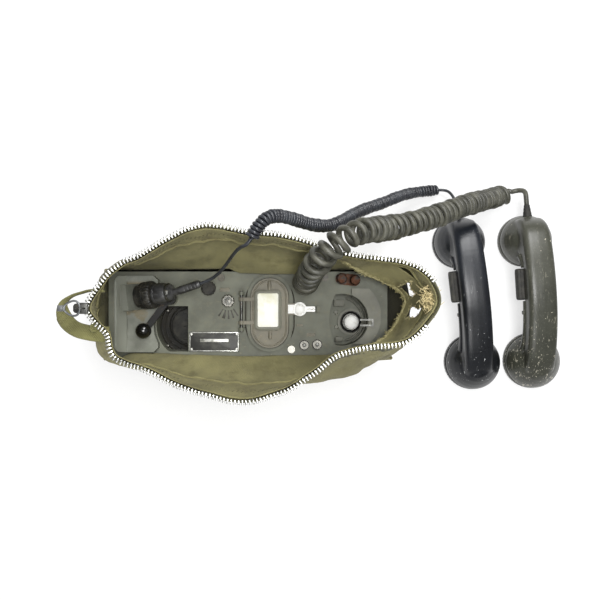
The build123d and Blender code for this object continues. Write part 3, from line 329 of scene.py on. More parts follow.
def worn_paint(f, base, bare, dust, rough, chips):
    """Sprayed paint on a casting: grain, dust in the hollows, scratches and bare chips."""
    grain = f.noise(1400, 2)
    patch = f.noise(22, 5, 0.62)
    fine = f.noise(190, 4, 0.7)
    scratch = f.noise(60, 3, 0.6, f.stretch(1, 9, 4), 0.6)
    speck = f.cells(420)
    shade = f.mix(patch.ramp(0.32, 0.68), brighter(base, 0.76), brighter(base, 1.22))
    shade = f.mix(fine.ramp(0.5, 0.78) * 0.5, shade, dust)
    chip = (fine * 0.55 + scratch * 0.45).ramp(chips, chips + 0.035)
    shade = f.mix(chip * 0.8, shade, bare)
    spots = (1 - speck.ramp(0.05, 0.12)) * patch.ramp(0.5, 0.7)
    shade = f.mix(spots * 0.6, shade, brighter(dust, 1.35))
    height = grain * 0.5 - chip * 0.7 + patch * 0.4
    return f.surface(shade, fine * 0.2 + (rough - 0.1), f.bump(height, 0.14))


def metal(f, low, high, rust, rough, rust_share=0):
    """Plain metal with fine brushing, tarnish and, where it is old, rust."""
    brush = f.noise(900, 3, 0.6, f.stretch(1, 0.12, 1))
    cloud = f.noise(130, 4, 0.65)
    shade = f.mix(cloud.ramp(0.3, 0.7), low, high)
    shine = 1 - cloud.ramp(0.7, 0.9) * 0.3
    if rust:
        spots = cloud.ramp(rust_share, rust_share + 0.12)
        shade = f.mix(spots, shade, rust)
        shine = 1 - spots * 0.85
    return f.surface(shade, brush * 0.2 + rough, f.bump(brush, 0.04), shine)


def plain(f, low, high, cloud, span, vary, rough, relief, grain=None, shine=0, lift=1, level=0.5):
    """One noise runs between two colours and roughens; that noise or a finer one gives the relief."""
    tarnish = f.noise(*cloud)
    fine = f.noise(*grain) if grain else tarnish
    shade = f.mix(tarnish.ramp(*span), brighter(low, lift), high)
    rough = tarnish * vary + rough if vary else rough
    return f.surface(shade, rough, f.bump(fine, relief), shine, Specular_IOR_Level=level)


def handset_plastic(f, base, polish_and_highlight, scuff, wear_level, speck_level):
    """Moulded plastic: satin with hand polish and a painted highlight on the ear half, fine scratches, and
    scuffs at the mouth end.
    """
    x, y, z = f.axes()
    rub = f.noise(26, 5, 0.6)
    fine = f.noise(520, 3, 0.65)
    grain = f.noise(1600, 2)
    line = f.noise(95, 3, 0.6, f.stretch(5, 0.8, 2), 1.2)
    fleck = f.noise(210, 2, 0.7, warp=0.8)
    low_end = 1 - y.ramp(-0.062, 0.012)
    shade = f.mix(rub.ramp(0.32, 0.7), brighter(base, 0.82), brighter(base, 1.2))
    # Painted highlight: besides the random hand polish, the ear half (y above 0) is lightened towards the
    # same colour.
    shade = f.mix(fine.ramp(0.52, 0.76) * 0.35 + y.ramp(0, 0.08) * 0.22, shade, polish_and_highlight)
    nick = (fleck + low_end * 0.055 + (rub - 0.5) * 0.12).ramp(speck_level, speck_level + 0.02)
    shade = f.mix(nick * 0.85, shade, scuff)
    cut = line.ramp(wear_level, wear_level + 0.02) * (low_end + 0.25)
    shade = f.mix(cut * 0.6, shade, scuff)
    height = grain * 0.35 - nick * 0.6 - cut * 0.5
    return f.surface(shade, fine * 0.14 + rub * 0.16 + 0.17, f.bump(height, 0.08), Specular_IOR_Level=0.42)


# ---- finishes for one piece ---------------------------------------------------------
def fray(f):
    """Loose threads, paler at the far tuft."""
    strand = f.noise(300, 3)
    far = f.axes()[0].ramp(0.17, 0.182)
    shade = f.mix(strand.ramp(0.3, 0.7), tone(128, 122, 82), tone(172, 164, 122))
    tuft = f.mix(strand.ramp(0.3, 0.6), tone(150, 138, 96), tone(218, 202, 154))
    return f.surface(f.mix(far, shade, tuft), 0.9, f.bump(strand, 0.2))


def housing_paint(f):
    """The end housing: a pale slope from a painted highlight, a khaki plateau that hands have rubbed, and
    painted shade on what stands above the plateau.
    """
    x, y, z = f.axes()
    rub = f.noise(38, 5, 0.65)
    fine = f.noise(240, 4, 0.7)
    grain = f.noise(1400, 2)
    zone = (x.ramp(-0.1345, -0.1325) * (1 - x.ramp(-0.108, -0.104)) * z.ramp(0.1262, 0.1268)
            * (1 - z.ramp(0.131, 0.134)) * y.ramp(-0.032, -0.027) * (1 - y.ramp(0.034, 0.038)))
    shade = f.mix(rub.ramp(0.3, 0.7), tone(112, 115, 104), tone(138, 140, 130))
    # Painted highlight: the slope left of the plateau is painted pale for the light that falls on it.
    shade = f.mix(1 - x.ramp(-0.134, -0.132), shade, tone(172, 175, 164))
    patch = zone * (rub + y * 4).ramp(0.5, 0.62)
    shade = f.mix(patch * 0.8, shade, tone(122, 112, 84))
    shade = f.mix(patch * fine.ramp(0.56, 0.68) * 0.8, shade, tone(164, 152, 124))
    # Painted shade: the top of the receptacle block and whatever stands above the plateau are darkened.
    shade = f.mix(z.ramp(0.131, 0.134) * 0.45, shade, tone(66, 68, 60))
    chip = fine.ramp(0.68, 0.72)
    shade = f.mix(chip * 0.7, shade, tone(168, 164, 150))
    return f.surface(shade, fine * 0.2 + 0.45, f.bump(grain * 0.4 - chip * 0.6, 0.14))


def plug_plastic(f):
    """Black plastic, streaked along the plug."""
    streak = f.noise(110, 4, 0.6, f.stretch(0.4, 1.5, 1.5))
    fine = f.noise(700, 2)
    shade = f.mix(streak.ramp(0.35, 0.7), tone(34, 34, 35), tone(66, 66, 66))
    return f.surface(shade, streak * 0.25 + 0.22, f.bump(fine, 0.06))


def ring_rubber(f):
    """Worn black ring with dust in its grooves."""
    dust = f.noise(120, 5, 0.7)
    fine = f.noise(420, 3, 0.7)
    shade = f.mix(dust.ramp(0.38, 0.66), tone(24, 24, 22), tone(52, 50, 44))
    shade = f.mix(fine.ramp(0.62, 0.74) * 0.6, shade, tone(112, 106, 88))
    return f.surface(shade, dust * 0.3 + 0.3, f.bump(fine, 0.12))


def gloss(f):
    """Polished black with a few pale specks."""
    speck = f.cells(320)
    haze = f.noise(60, 4, 0.6)
    spots = (1 - speck.ramp(0.05, 0.14)) * haze.ramp(0.45, 0.6)
    shade = f.mix(spots, tone(14, 14, 14), tone(96, 92, 82))
    return f.surface(shade, haze * 0.18 + 0.12, f.bump(haze, 0.05), Coat_Weight=0.4, Coat_Roughness=0.1)


def screw_head(f):
    """Slotted screws chosen by place: the front one bright metal, the others dull and darker."""
    x, y, z = f.axes()
    bright = (1 - y.ramp(-0.03, -0.02)) * (1 - x.ramp(0.1, 0.12))
    mottle = f.noise(300, 4, 0.7)
    shade = f.mix(mottle.ramp(0.4, 0.7), tone(78, 74, 62), tone(104, 98, 80))
    shade = f.mix(bright, shade, tone(166, 164, 156))
    return f.surface(shade, 0.46 - bright * 0.02, f.bump(mottle, 0.08), bright * 0.8)


def clear_window(f):
    """A clear cream window with faint stains."""
    stain = f.noise(60, 5, 0.6)
    fine = f.noise(500, 2)
    shade = f.mix(stain.ramp(0.35, 0.75), tone(252, 252, 242), tone(232, 230, 204))
    return f.surface(shade, fine * 0.1 + 0.18, f.bump(stain, 0.08), Coat_Weight=0.5, Coat_Roughness=0.08)


def circuit_board(f):
    """Green lacquer with copper along its traces."""
    trace = f.cells(260, "DISTANCE_TO_EDGE")
    shade = f.mix(trace.ramp(0.02, 0.06), tone(150, 110, 60), tone(70, 82, 50))
    return f.surface(shade, 0.45, f.bump(trace, 0.1))


def white_paper(f):
    """The floor: the camera and reflections see white, and shadows stay."""
    paper = f.node("ShaderNodeBsdfDiffuse", {"Color": f.shade(colours().floor)})
    glow = f.node("ShaderNodeEmission", {"Color": (1, 1, 1, 1), "Strength": 1.0})
    camera, glossy, through = [f.node("ShaderNodeLightPath", out=i) for i in (0, 3, 6)]
    share = camera.larger(glossy).larger(through) * 0.62
    return f.output(f.node("ShaderNodeMixShader", {0: share, 1: paper, 2: glow}))


ROWS = {
    # name: maker, (cloth, dirt and the painted shade between threads, fade), thread pitch, relief, lift
    "canvas": (cloth, ("canvas", (98, 92, 60), (160, 155, 116)), 1.5, 0.45),
    "facing": (cloth, ("canvas", (96, 88, 58), (156, 150, 116)), 1.3, 0.4, 1.06),
    "tape": (cloth, ((84, 84, 60), (58, 56, 40), (122, 120, 92)), 1.1, 0.3),
    "base": (cloth, ("canvas", (66, 60, 42), (120, 116, 90)), 1.6, 0.5, 0.8),
    "webbing": (cloth, ("webbing", (80, 76, 46), (146, 142, 102)), 2.2, 0.7),
    # Painted shade: the dark cloth of the sheet low in the bag's right end.
    "dark_lining": (cloth, ((58, 56, 38), (40, 38, 26), (84, 80, 56)), 1.5, 0.4),
    # name: maker, (paint, bare casting, dust), roughness, level where chips start
    "panel": (worn_paint, ("panel", (150, 146, 128), (128, 122, 100)), 0.62, 0.64),
    "case": (worn_paint, ("case", (140, 134, 116), (92, 88, 70)), 0.6, 0.66),
    "lid": (worn_paint, ((116, 112, 98), (160, 154, 134), (140, 130, 104)), 0.6, 0.63),
    "ridge": (worn_paint, ((116, 116, 104), (160, 156, 140), (132, 128, 108)), 0.58, 0.64),
    # name: maker, (low, high, rust), roughness, level where rust starts
    "steel": (metal, ((150, 150, 146), (204, 204, 200), (108, 92, 70)), 0.28, 0.62),
    "tooth": (metal, ((176, 176, 172), (226, 226, 222), (110, 108, 92)), 0.24, 0.66),
    "dark_steel": (metal, ((70, 70, 68), (112, 112, 108), (80, 66, 48)), 0.35, 0.6),
    "nickel": (metal, ((116, 115, 108), (156, 154, 147), (104, 94, 74)), 0.46, 0.64),
    "brass": (metal, ((150, 116, 60), (206, 170, 98), (76, 58, 34)), 0.3, 0.6),
    "copper": (metal, ((62, 42, 32), (104, 72, 56), (44, 34, 26)), 0.5, 0.46),
    "zinc": (metal, ((104, 106, 107), (142, 144, 145), None), 0.46),
    # name: maker, (low, high), noise, its span, share and base of roughness, relief, finer noise, metal
    "thread": (plain, ((66, 64, 42), (100, 97, 68)), (700, 2), (0.3, 0.7), 0, 0.85, 0.2),
    "rubber": (plain, ((30, 30, 28), (62, 60, 54)), (80, 5, 0.65), (0.35, 0.75), 0.2, 0.62, 0.1, (1100, 2)),
    "plate": (plain, ((52, 52, 50), (86, 86, 80)), (70, 4, 0.6), (0.4, 0.75), 0.2, 0.4, 0.05, (900, 3), 0.3),
    "bright_line": (plain, ((150, 150, 142), (216, 216, 210)), (160, 4, 0.6), (0.35, 0.6),
                    0.2, 0.3, 0.05, None, 0.6),
    "white": (plain, ((244, 244, 240), (196, 192, 178)), (150, 4, 0.6), (0.52, 0.8), 0.15, 0.28, 0.04),
    # well: dark olive of the battery well and the cast marks; also the painted shade of the screw slots and
    # of the rings round the lid.
    "well": (plain, ((44, 42, 34), (64, 61, 50)), (500, 3), (0.3, 0.7), 0, 0.5, 0.08),
    "lining": (plain, ((12, 12, 7), (40, 36, 24)), (60, 5, 0.65), (0.3, 0.72), 0.2, 0.5, 0.1, (900, 3)),
    "arm": (plain, ((22, 22, 20), (72, 62, 46)), (150, 4, 0.7), (0.55, 0.7), 0, 0.42, 0.06,
            None, 0, 1, 0.3),
    "thin_cord": (plain, ("thin_cord", (58, 61, 66)), (75, 5, 0.65), (0.35, 0.72), 0.18, 0.2, 0.06,
                  (850, 2), 0, 0.8),
    "thick_cord": (plain, ("thick_cord", (92, 91, 80)), (75, 5, 0.65), (0.35, 0.72), 0.18, 0.34, 0.06,
                   (850, 2), 0, 0.8),
    # name: maker, (plastic, hand polish and painted highlight, scuffs), level of scratches, level of specks
    "navy": (handset_plastic, ("navy", (44, 50, 60), (190, 192, 192)), 0.68, 0.765),
    "olive": (handset_plastic, ("olive", (98, 98, 88), (206, 200, 180)), 0.64, 0.72),
    "fray": (fray, ()), "housing": (housing_paint, ()), "ring": (ring_rubber, ()), "gloss": (gloss, ()),
    "screw": (screw_head, ()), "window": (clear_window, ()), "board": (circuit_board, ()),
    "plug": (plug_plastic, ()), "floor": (white_paper, ()),
}


# ---- mesh helpers (millimetres in, metres out) --------------------------------------
def make(name, points, faces, finish_name, smooth=True):
    """A mesh piece with its finish."""
    mesh = bpy.data.meshes.new(name)
    mesh.from_pydata([tuple(c * MM for c in p) for p in points], [], faces)
    mesh.validate()
    obj = bpy.data.objects.new(name, mesh)
    bpy.context.scene.collection.objects.link(obj)
    if smooth:
        mesh.polygons.foreach_set("use_smooth", [True] * len(mesh.polygons))
    mesh.materials.append(finish(finish_name))
    return obj


def tag(obj, body, slot, node=None):
    """The body that a piece rides on, its slot, which is not used, and the model's node that it stands for.
    """
    if body:
        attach(obj, body)
    if node:
        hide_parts(node)
    return obj


def modify(obj, kind, **settings):
    """A modifier, applied at once."""
    added = obj.modifiers.new(kind, kind)
    for key, value in settings.items():
        setattr(added, key, value)
    graph = bpy.context.evaluated_depsgraph_get()
    mesh = bpy.data.meshes.new_from_object(obj.evaluated_get(graph))
    obj.modifiers.clear()
    old = obj.data
    obj.data = mesh
    bpy.data.meshes.remove(old)


def sheet(name, points, faces, finish_name, thick, offset):
    """A rounded sheet of cloth with a thickness in millimetres."""
    obj = make(name, points, faces, finish_name)
    modify(obj, "SUBSURF", levels=1, render_levels=1)
    modify(obj, "SOLIDIFY", thickness=thick * MM, offset=offset)
    return obj


def dress(nodes, finish_name):
    """Gives CAD nodes a finish through their material slots."""
    for name in nodes.split():
        obj = NODES[name]
        if not obj.material_slots:
            obj.data.materials.append(None)
        for slot in obj.material_slots:
            slot.material = finish(finish_name)


def grid_faces(rows, columns, closed=True):
    """Quads between rows of points, closed round or not."""
    faces = []
    for i in range(rows - 1):
        for j in range(columns if closed else columns - 1):
            k = (j + 1) % columns
            faces.append((i * columns + j, i * columns + k, (i + 1) * columns + k, (i + 1) * columns + j))
    return faces


class Build:
    """Points and faces gathered from several simple shapes into one piece."""

    def __init__(self):
        self.points, self.faces = [], []

    def rings(self, rings, caps=True):
        """A skin over closed rings of points, with or without flat ends."""
        count = len(rings[0])
        faces = grid_faces(len(rings), count)
        if caps:
            last = (len(rings) - 1) * count
            faces += [tuple(reversed(range(count))), tuple(range(last, last + count))]
        start = len(self.points)
        self.points += [tuple(p) for ring in rings for p in ring]
        self.faces += [tuple(start + i for i in face) for face in faces]
        return self

    def lathe(self, profile, at=(0, 0, 0), axis=(0, 0, 1), sides=48, wobble=None, caps=True):
        """A turned shape: radius and height pairs about an axis."""
        w = Vector(axis).normalized()
        u = w.orthogonal().normalized()
        v = w.cross(u)
        rings = []
        for radius, height in profile:
            ring = []
            for i in range(sides):
                angle = 2 * math.pi * i / sides
                r = radius * (wobble(i, radius, height) if wobble else 1)
                ring.append(Vector(at) + w * height + (u * math.cos(angle) + v * math.sin(angle)) * r)
            rings.append(ring)
        return self.rings(rings, caps)

    def rod(self, path, radius, sides=8, flat=1):
        """A round or flat bar along points; its radius may change along it."""
        radii = radius if isinstance(radius, list) else [radius] * len(path)
        return self.rings(sweep_rings([Vector(p) for p in path], radii, sides, flat))

    def loop(self, ring, radius):
        """A round bar that closes on itself."""
        ring = [Vector(p) for p in ring]
        rings = sweep_rings(ring + ring[:1], [radius] * (len(ring) + 1), 8, 1, (0, 0, 1))
        return self.rings(rings, caps=False)

    def slab(self, outline, low, high, edge=0.5):
        """A plan outline raised between two levels with a small edge radius."""
        middle = Vector([sum(p[k] for p in outline) / len(outline) for k in (0, 1)])
        rings = []
        for inset, height in ((0, low), (0, high - edge), (0.3 * edge, high - 0.3 * edge), (edge, high)):
            ring = []
            for p in outline:
                away = Vector(p[:2]) - middle
                away = away * (1 - inset / max(away.length, 0.01))
                ring.append((middle.x + away.x, middle.y + away.y, height))
            rings.append(ring)
        return self.rings(rings)

    def box(self, low, high, edge=0.4):
        """A block with softened top edges."""
        outline = rounded((low[0] + high[0]) / 2, (low[1] + high[1]) / 2,
                          high[0] - low[0], high[1] - low[1], edge * 1.5)
        return self.slab(outline, low[2], high[2], edge)

    def piece(self, name, finish_name, body=None, slot=None, node=None, crease=35):
        """The finished piece, smooth but for the edges sharper than the crease."""
        obj = make(name, self.points, self.faces, finish_name)
        obj.data.set_sharp_from_angle(angle=math.radians(crease))
        return tag(obj, body, slot, node)


def sweep_rings(path, radii, sides, flat=1, up=None):
    """Rings round a path, turned as little as possible from one to the next."""
    last = len(path) - 1
    tangents = [(path[min(i + 1, last)] - path[max(i - 1, 0)]).normalized() for i in range(last + 1)]
    side = (Vector(up) if up else tangents[0].orthogonal()).normalized()
    rings = []
    for point, tangent, radius in zip(path, tangents, radii):
        side = (side - tangent * side.dot(tangent)).normalized()
        other = tangent.cross(side)
        ring = []
        for i in range(sides):
            angle = 2 * math.pi * i / sides
            wide, thick = math.cos(angle) * radius, math.sin(angle) * radius * flat
            ring.append(point + side * wide + other * thick)
        rings.append(ring)
    return rings


def rounded(x, y, wide, deep, radius, steps=5):
    """Plan outline of a rectangle with round corners."""
    radius = min(radius, wide / 2 - 0.01, deep / 2 - 0.01)
    points = []
    for cx, cy, start in ((1, 1, 0), (-1, 1, 90), (-1, -1, 180), (1, -1, 270)):
        for i in range(steps):
            angle = math.radians(start + 90 * i / (steps - 1))
            points.append((x + cx * (wide / 2 - radius) + radius * math.cos(angle),
                           y + cy * (deep / 2 - radius) + radius * math.sin(angle)))
    return points


def half_disc(x, y, radius, band, steps=44):
    """Plan outline of the left half of a disc, cut off above and below."""
    points = []
    for k in range(steps):
        a = math.radians(90 + 180 * k / (steps - 1))
        points.append((x + radius * math.cos(a), min(band[1], max(band[0], y + radius * math.sin(a)))))
    return points


def oblong(x, y, z, radius, straight, count):
    """A closed line with round ends and straight long sides, flat at a level."""
    angles = [2 * math.pi * (k + 0.5) / count for k in range(count)]
    return [(x + radius * math.cos(a), y + math.copysign(straight, math.sin(a)) + radius * math.sin(a), z)
            for a in angles]


def cubic(p, t):
    """The point at t between the middle two of four points, on a smooth line through them."""
    return 0.5 * ((2 * p[1]) + (p[2] - p[0]) * t + (2 * p[0] - 5 * p[1] + 4 * p[2] - p[3]) * t ** 2
                  + (3 * p[1] - p[0] - 3 * p[2] + p[3]) * t ** 3)


def closed_curve(points, share):
    """The point at a share of the way round a smooth closed curve through the stations."""
    at = (share % 1) * len(points)
    i = int(at)
    return cubic([np.array(points[(i + k) % len(points)], float) for k in (-1, 0, 1, 2)], at - i)


def smooth_line(points, count):
    """A smooth open line through points."""
    flat = np.array([tuple(p) for p in points], float)
    last = len(points) - 1
    out = []
    for w in np.linspace(0, last, count):
        i = min(int(w), last - 1)
        out.append(Vector(cubic([flat[max(0, min(last, i + k))] for k in (-1, 0, 1, 2)], w - i)))
    return out


def ease(t):
    """0 below 0, 1 above 1 and smooth between."""
    t = min(1, max(0, t))
    return t * t * (3 - 2 * t)


def seen(point):
    """Where a point shows from above, in pixels right of and above the picture's middle."""
    scale = PIXEL * (EYE[2] - point[2])
    return (point[0] - EYE[0]) / scale, (point[1] - EYE[1]) / scale


def inside(spot, outline):
    """Whether a flat point is inside an outline."""
    x, y = spot
    hit = False
    for (ax, ay), (bx, by) in zip(outline, outline[1:] + outline[:1]):
        if (ay > y) != (by > y) and x < (bx - ax) * (y - ay) / (by - ay) + ax:
            hit = not hit
    return hit


def line_length(points):
    return sum((b - a).length for a, b in zip(points, points[1:]))


def even(points, step):
    """The same line with its points at an even step."""
    marks = [0]
    for a, b in zip(points, points[1:]):
        marks.append(marks[-1] + (b - a).length)
    count = max(2, int(marks[-1] / step) + 1)
    flat = np.array([tuple(p) for p in points])
    wanted = np.linspace(0, marks[-1], count)
    return [Vector(row) for row in np.stack([np.interp(wanted, marks, flat[:, k]) for k in range(3)], 1)]


# ---- cords --------------------------------------------------------------------------
def route_points(name, route):
    """Points along the smooth line that a cord's route gives, in metres."""
    data = bpy.data.curves.new(name, "CURVE")
    data.dimensions = "3D"
    data.resolution_u = 32
    line = data.splines.new("NURBS")
    line.points.add(len(route) - 1)
    for point, place in zip(line.points, route):
        point.co = (*place, 1)
    line.order_u = 3
    line.use_endpoint_u = True
    holder = bpy.data.objects.new(name, data)
    mesh = bpy.data.meshes.new_from_object(holder)
    points = [v.co.copy() for v in mesh.vertices]
    bpy.data.objects.remove(holder)
    bpy.data.curves.remove(data)
    bpy.data.meshes.remove(mesh)
    return points


def cord_tube(name, points, wire, sides, sleeve, node, body=None):
    """A round cord's skin along points in metres."""
    rings = sweep_rings(points, [wire / 2] * len(points), sides)
    build = Build().rings([[v / MM for v in ring] for ring in rings])
    return tag(make(name, build.points, build.faces, sleeve), body, sleeve, node)


def lead(name, route, wire, sleeve, node, body=None):
    """A plain stretch of cord, with the line that it follows."""
    points = even(route_points(name, route), 0.0012)
    return cord_tube(name, points, wire, 12, sleeve, node, body), points


def curl(route, radius, pitch, steps, turn_start, loose, shrink=0):
    """The helix of a curly cord: its turns follow the route and close up or open by the given rule."""
    spine = even(route_points("spine", route), 0.0005)
    last = len(spine) - 1
    total = line_length(spine)
    side = (spine[1] - spine[0]).normalized().orthogonal().normalized()
    angles, frames = [], []
    angle, gone = turn_start, 0
    for i, point in enumerate(spine):
        ahead = spine[min(i + 1, last)]
        tangent = (ahead - spine[max(i - 1, 0)]).normalized()
        side = (side - tangent * side.dot(tangent)).normalized()
        angles.append(angle)
        frames.append((point, tangent, side.copy()))
        angle += 2 * math.pi * (ahead - point).length / (pitch * loose(gone / total))
        gone += (ahead - point).length
    count = int((angles[-1] - angles[0]) / (2 * math.pi) * steps)
    wanted = np.linspace(angles[0], angles[-1], count)
    points = []
    for index, a in zip(np.interp(wanted, angles, np.arange(last + 1)), wanted):
        i = min(int(index), last - 1)
        point = frames[i][0].lerp(frames[i + 1][0], index - i)
        tangent, side = frames[i][1:]
        grow = min(1, (a - angles[0]) / (1.3 * math.pi), (angles[-1] - a) / (1.3 * math.pi))
        wave = 1 + 0.05 * math.sin(a * 0.37) + 0.04 * math.sin(a * 0.113 + 1) - shrink * index / len(frames)
        reach = radius * math.sin(grow * math.pi / 2) * wave
        points.append(point + (side * math.cos(a) + tangent.cross(side) * math.sin(a)) * reach)
    return points


def strain_relief(name, node, start, end, thick_end, thin_end, body):
    """A tapered rubber relief with three soft ribs."""
    start, end = Vector(start) / MM, Vector(end) / MM
    axis = end - start
    profile = [(thick_end * 0.86, 0), (thick_end, 0.6)]
    for i in range(13):
        t = i / 12
        groove = 0.25 if i % 4 == 2 else 0
        profile.append((thick_end + (thin_end - thick_end) * t - groove, 0.6 + (axis.length - 1.4) * t))
    profile.append((thin_end * 0.8, axis.length))
    Build().lathe(profile, start, axis, 28).piece(name, "rubber", body, "rubber", node)


def thin_loose(share):
    """How open the thin cord's turns are along it."""
    return 1 + 0.10 * math.sin(share * 21) * (share > 0.12)


def thick_loose(share):
    """How open the thick cord's turns are along it."""
    start = 1.42 - 0.2 * ease(share / 0.3)
    close = 0.44 * ease((share - 0.45) / 0.4)
    end = 1.3 * ease((share - 0.945) / 0.03)
    return start - close + end + 0.07 * math.sin(share * 40) + 0.05 * math.sin(share * 91)


class FIELDSET_OT_cords(bpy.types.Operator):
    """Builds the two curly cords with their plain ends"""
    bl_idname = "fieldset.cords"
    bl_label = "Cords"

    def execute(self, context):
        size = sizes()
        thin, thick = size.thin_wire, size.thick_wire

        plug_lead, line = lead("plug_lead", THIN_LEAD_PLUG, thin, "thin_cord", "thin_lead_plug")
        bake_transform(plug_lead)
        line_length(line)

        turns = curl(THIN_COIL, (size.thin_coil - thin) / 2, size.thin_pitch, 18, 0.6, thin_loose)
        thin_coil = cord_tube("thin_curly_cord", turns, thin, 8, "thin_cord", "thin_coil")
        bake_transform(thin_coil)
        line_length(turns)

        ear_lead, line = lead("left_handset_lead", THIN_LEAD_HANDSET, thin, "thin_cord",
                              "thin_lead_handset", "left_handset")
        line_length(line)

        right_lead, line = lead("right_handset_lead", THICK_LEAD, thick, "thick_cord", "thick_lead",
                                "right_handset")
        turns = curl(THICK_COIL, (size.thick_coil - thick) / 2, size.thick_pitch, 26, 2.2, thick_loose, 0.14)
        thick_coil = cord_tube("thick_curly_cord", turns, thick, 10, "thick_cord", "thick_coil")
        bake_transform(thick_coil)
        line_length(turns)
        return {"FINISHED"}


# ---- bag ----------------------------------------------------------------------------
AROUND = 420   # stations of the wall's mesh
LEVELS = [3, 12, 24, 36, 48, 60, 72, 84, 96, 104, 110, 116, 120, 124, 128, 132, 136, 140, 144, 148,
          152, 156, 160, 164, 168, 172, 176, 180, 184, 188, 192, 196, 200, 204, 208, 211, 213.5, 215]
LEAN = 9     # how far the canvas leans in over the panel's long edges


def wall_base(share, level):
    """The canvas's plain outer skin at a share of the way round and a level."""
    foot = closed_curve(FOOT, share) * CASE_HALF
    foot = foot * (1 + CANVAS / np.hypot(*foot))
    belly, mouth = closed_curve(BELLY, share), closed_curve(MOUTH, share)
    shoulder = PANEL + 1
    if level <= shoulder:
        return foot
    if level <= BELLY_Z:
        t = (level - shoulder) / (BELLY_Z - shoulder)
        return foot + (belly - foot) * (t + 0.10 * math.sin(math.pi * t))
    return belly + (mouth - belly) * ((level - BELLY_Z) / (RIM - BELLY_Z))


def outward(share, level, step=0.004):
    """The bag wall's outward direction in plan."""
    along = wall_base(share + step, level) - wall_base(share - step, level)
    size = max(np.hypot(*along), 1e-6)
    return -along[1] / size, along[0] / size


def wall(share, level, depth=0):
    """A point of the bag's wall, with its sag and folds, pushed inwards by a depth."""
    here = wall_base(share, level)
    normal = np.array(outward(share, level, 0.002))
    # Folds grow from just above the panel upwards and calm down towards the rim.
    rise = min(1, max(0, (level - PANEL - 3) / 22)) * min(1, max(0, (RIM + 5 - level) / 22))
    spot = Vector((here[0] * 0.03, here[1] * 0.03, level * 0.018))
    fold = noise.noise(spot) * 3.6 + noise.noise(spot * 2.7 + Vector((5, 1, 2))) * 1.7
    fold += noise.noise(Vector((share * 34, level * 0.012, 7))) * 2.2
    ripple = noise.noise(spot * 7) * 0.5
    low = 0 if level > PANEL + 1 else 0.8 * abs(noise.noise(spot * 1.6)) + 0.3
    push = max(-2.6, min(2.6, (fold + ripple) * rise)) + low
    # The lean keeps to one stretch of each long side, between the panel and the belly.
    x, y = closed_curve(FOOT, share)
    first, last = (-0.18, 0.42) if y > 0 else (-0.95, 0.93)
    long_side = ease((abs(y) - 0.8) / 0.1) * ease((last + 0.12 - x) / 0.12) * ease((x - first) / 0.14)
    over = max(0, min(1, (level - PANEL - 1) / 4)) * max(0, min(1, (BELLY_Z - 7 - level) / 34))
    push -= LEAN * over * long_side
    here = here + normal * (push - depth)
    return (here[0], here[1], level)


def torn(point):
    """Whether a point of the canvas shows inside one of the torn holes."""
    x, y = seen(point)
    rag = Vector(point) * 0.5
    spot = (x + noise.noise(rag) * 1.4, y + noise.noise(rag + Vector((9, 3, 1))) * 1.4)
    return any(inside(spot, outline) for outline in TORN)


def whole(points, rows, columns, closed=True):
    """The quads between rows of points, without those in a torn hole."""
    faces = grid_faces(rows, columns, closed)
    return [face for face in faces if not torn(tuple(np.mean([points[i] for i in face], axis=0)))]


def hem(share):
    """How far the facing reaches below the rim, with its frayed waver."""
    back = wall(share, RIM)[1] > 10
    return (26 if back else 36) + noise.noise(Vector((share * 60, 0, 3))) * (3.4 if back else 1.2)


def drawn(dice, *spans):
    """A direction with each part drawn from its span."""
    return Vector([dice.uniform(*span) for span in spans])


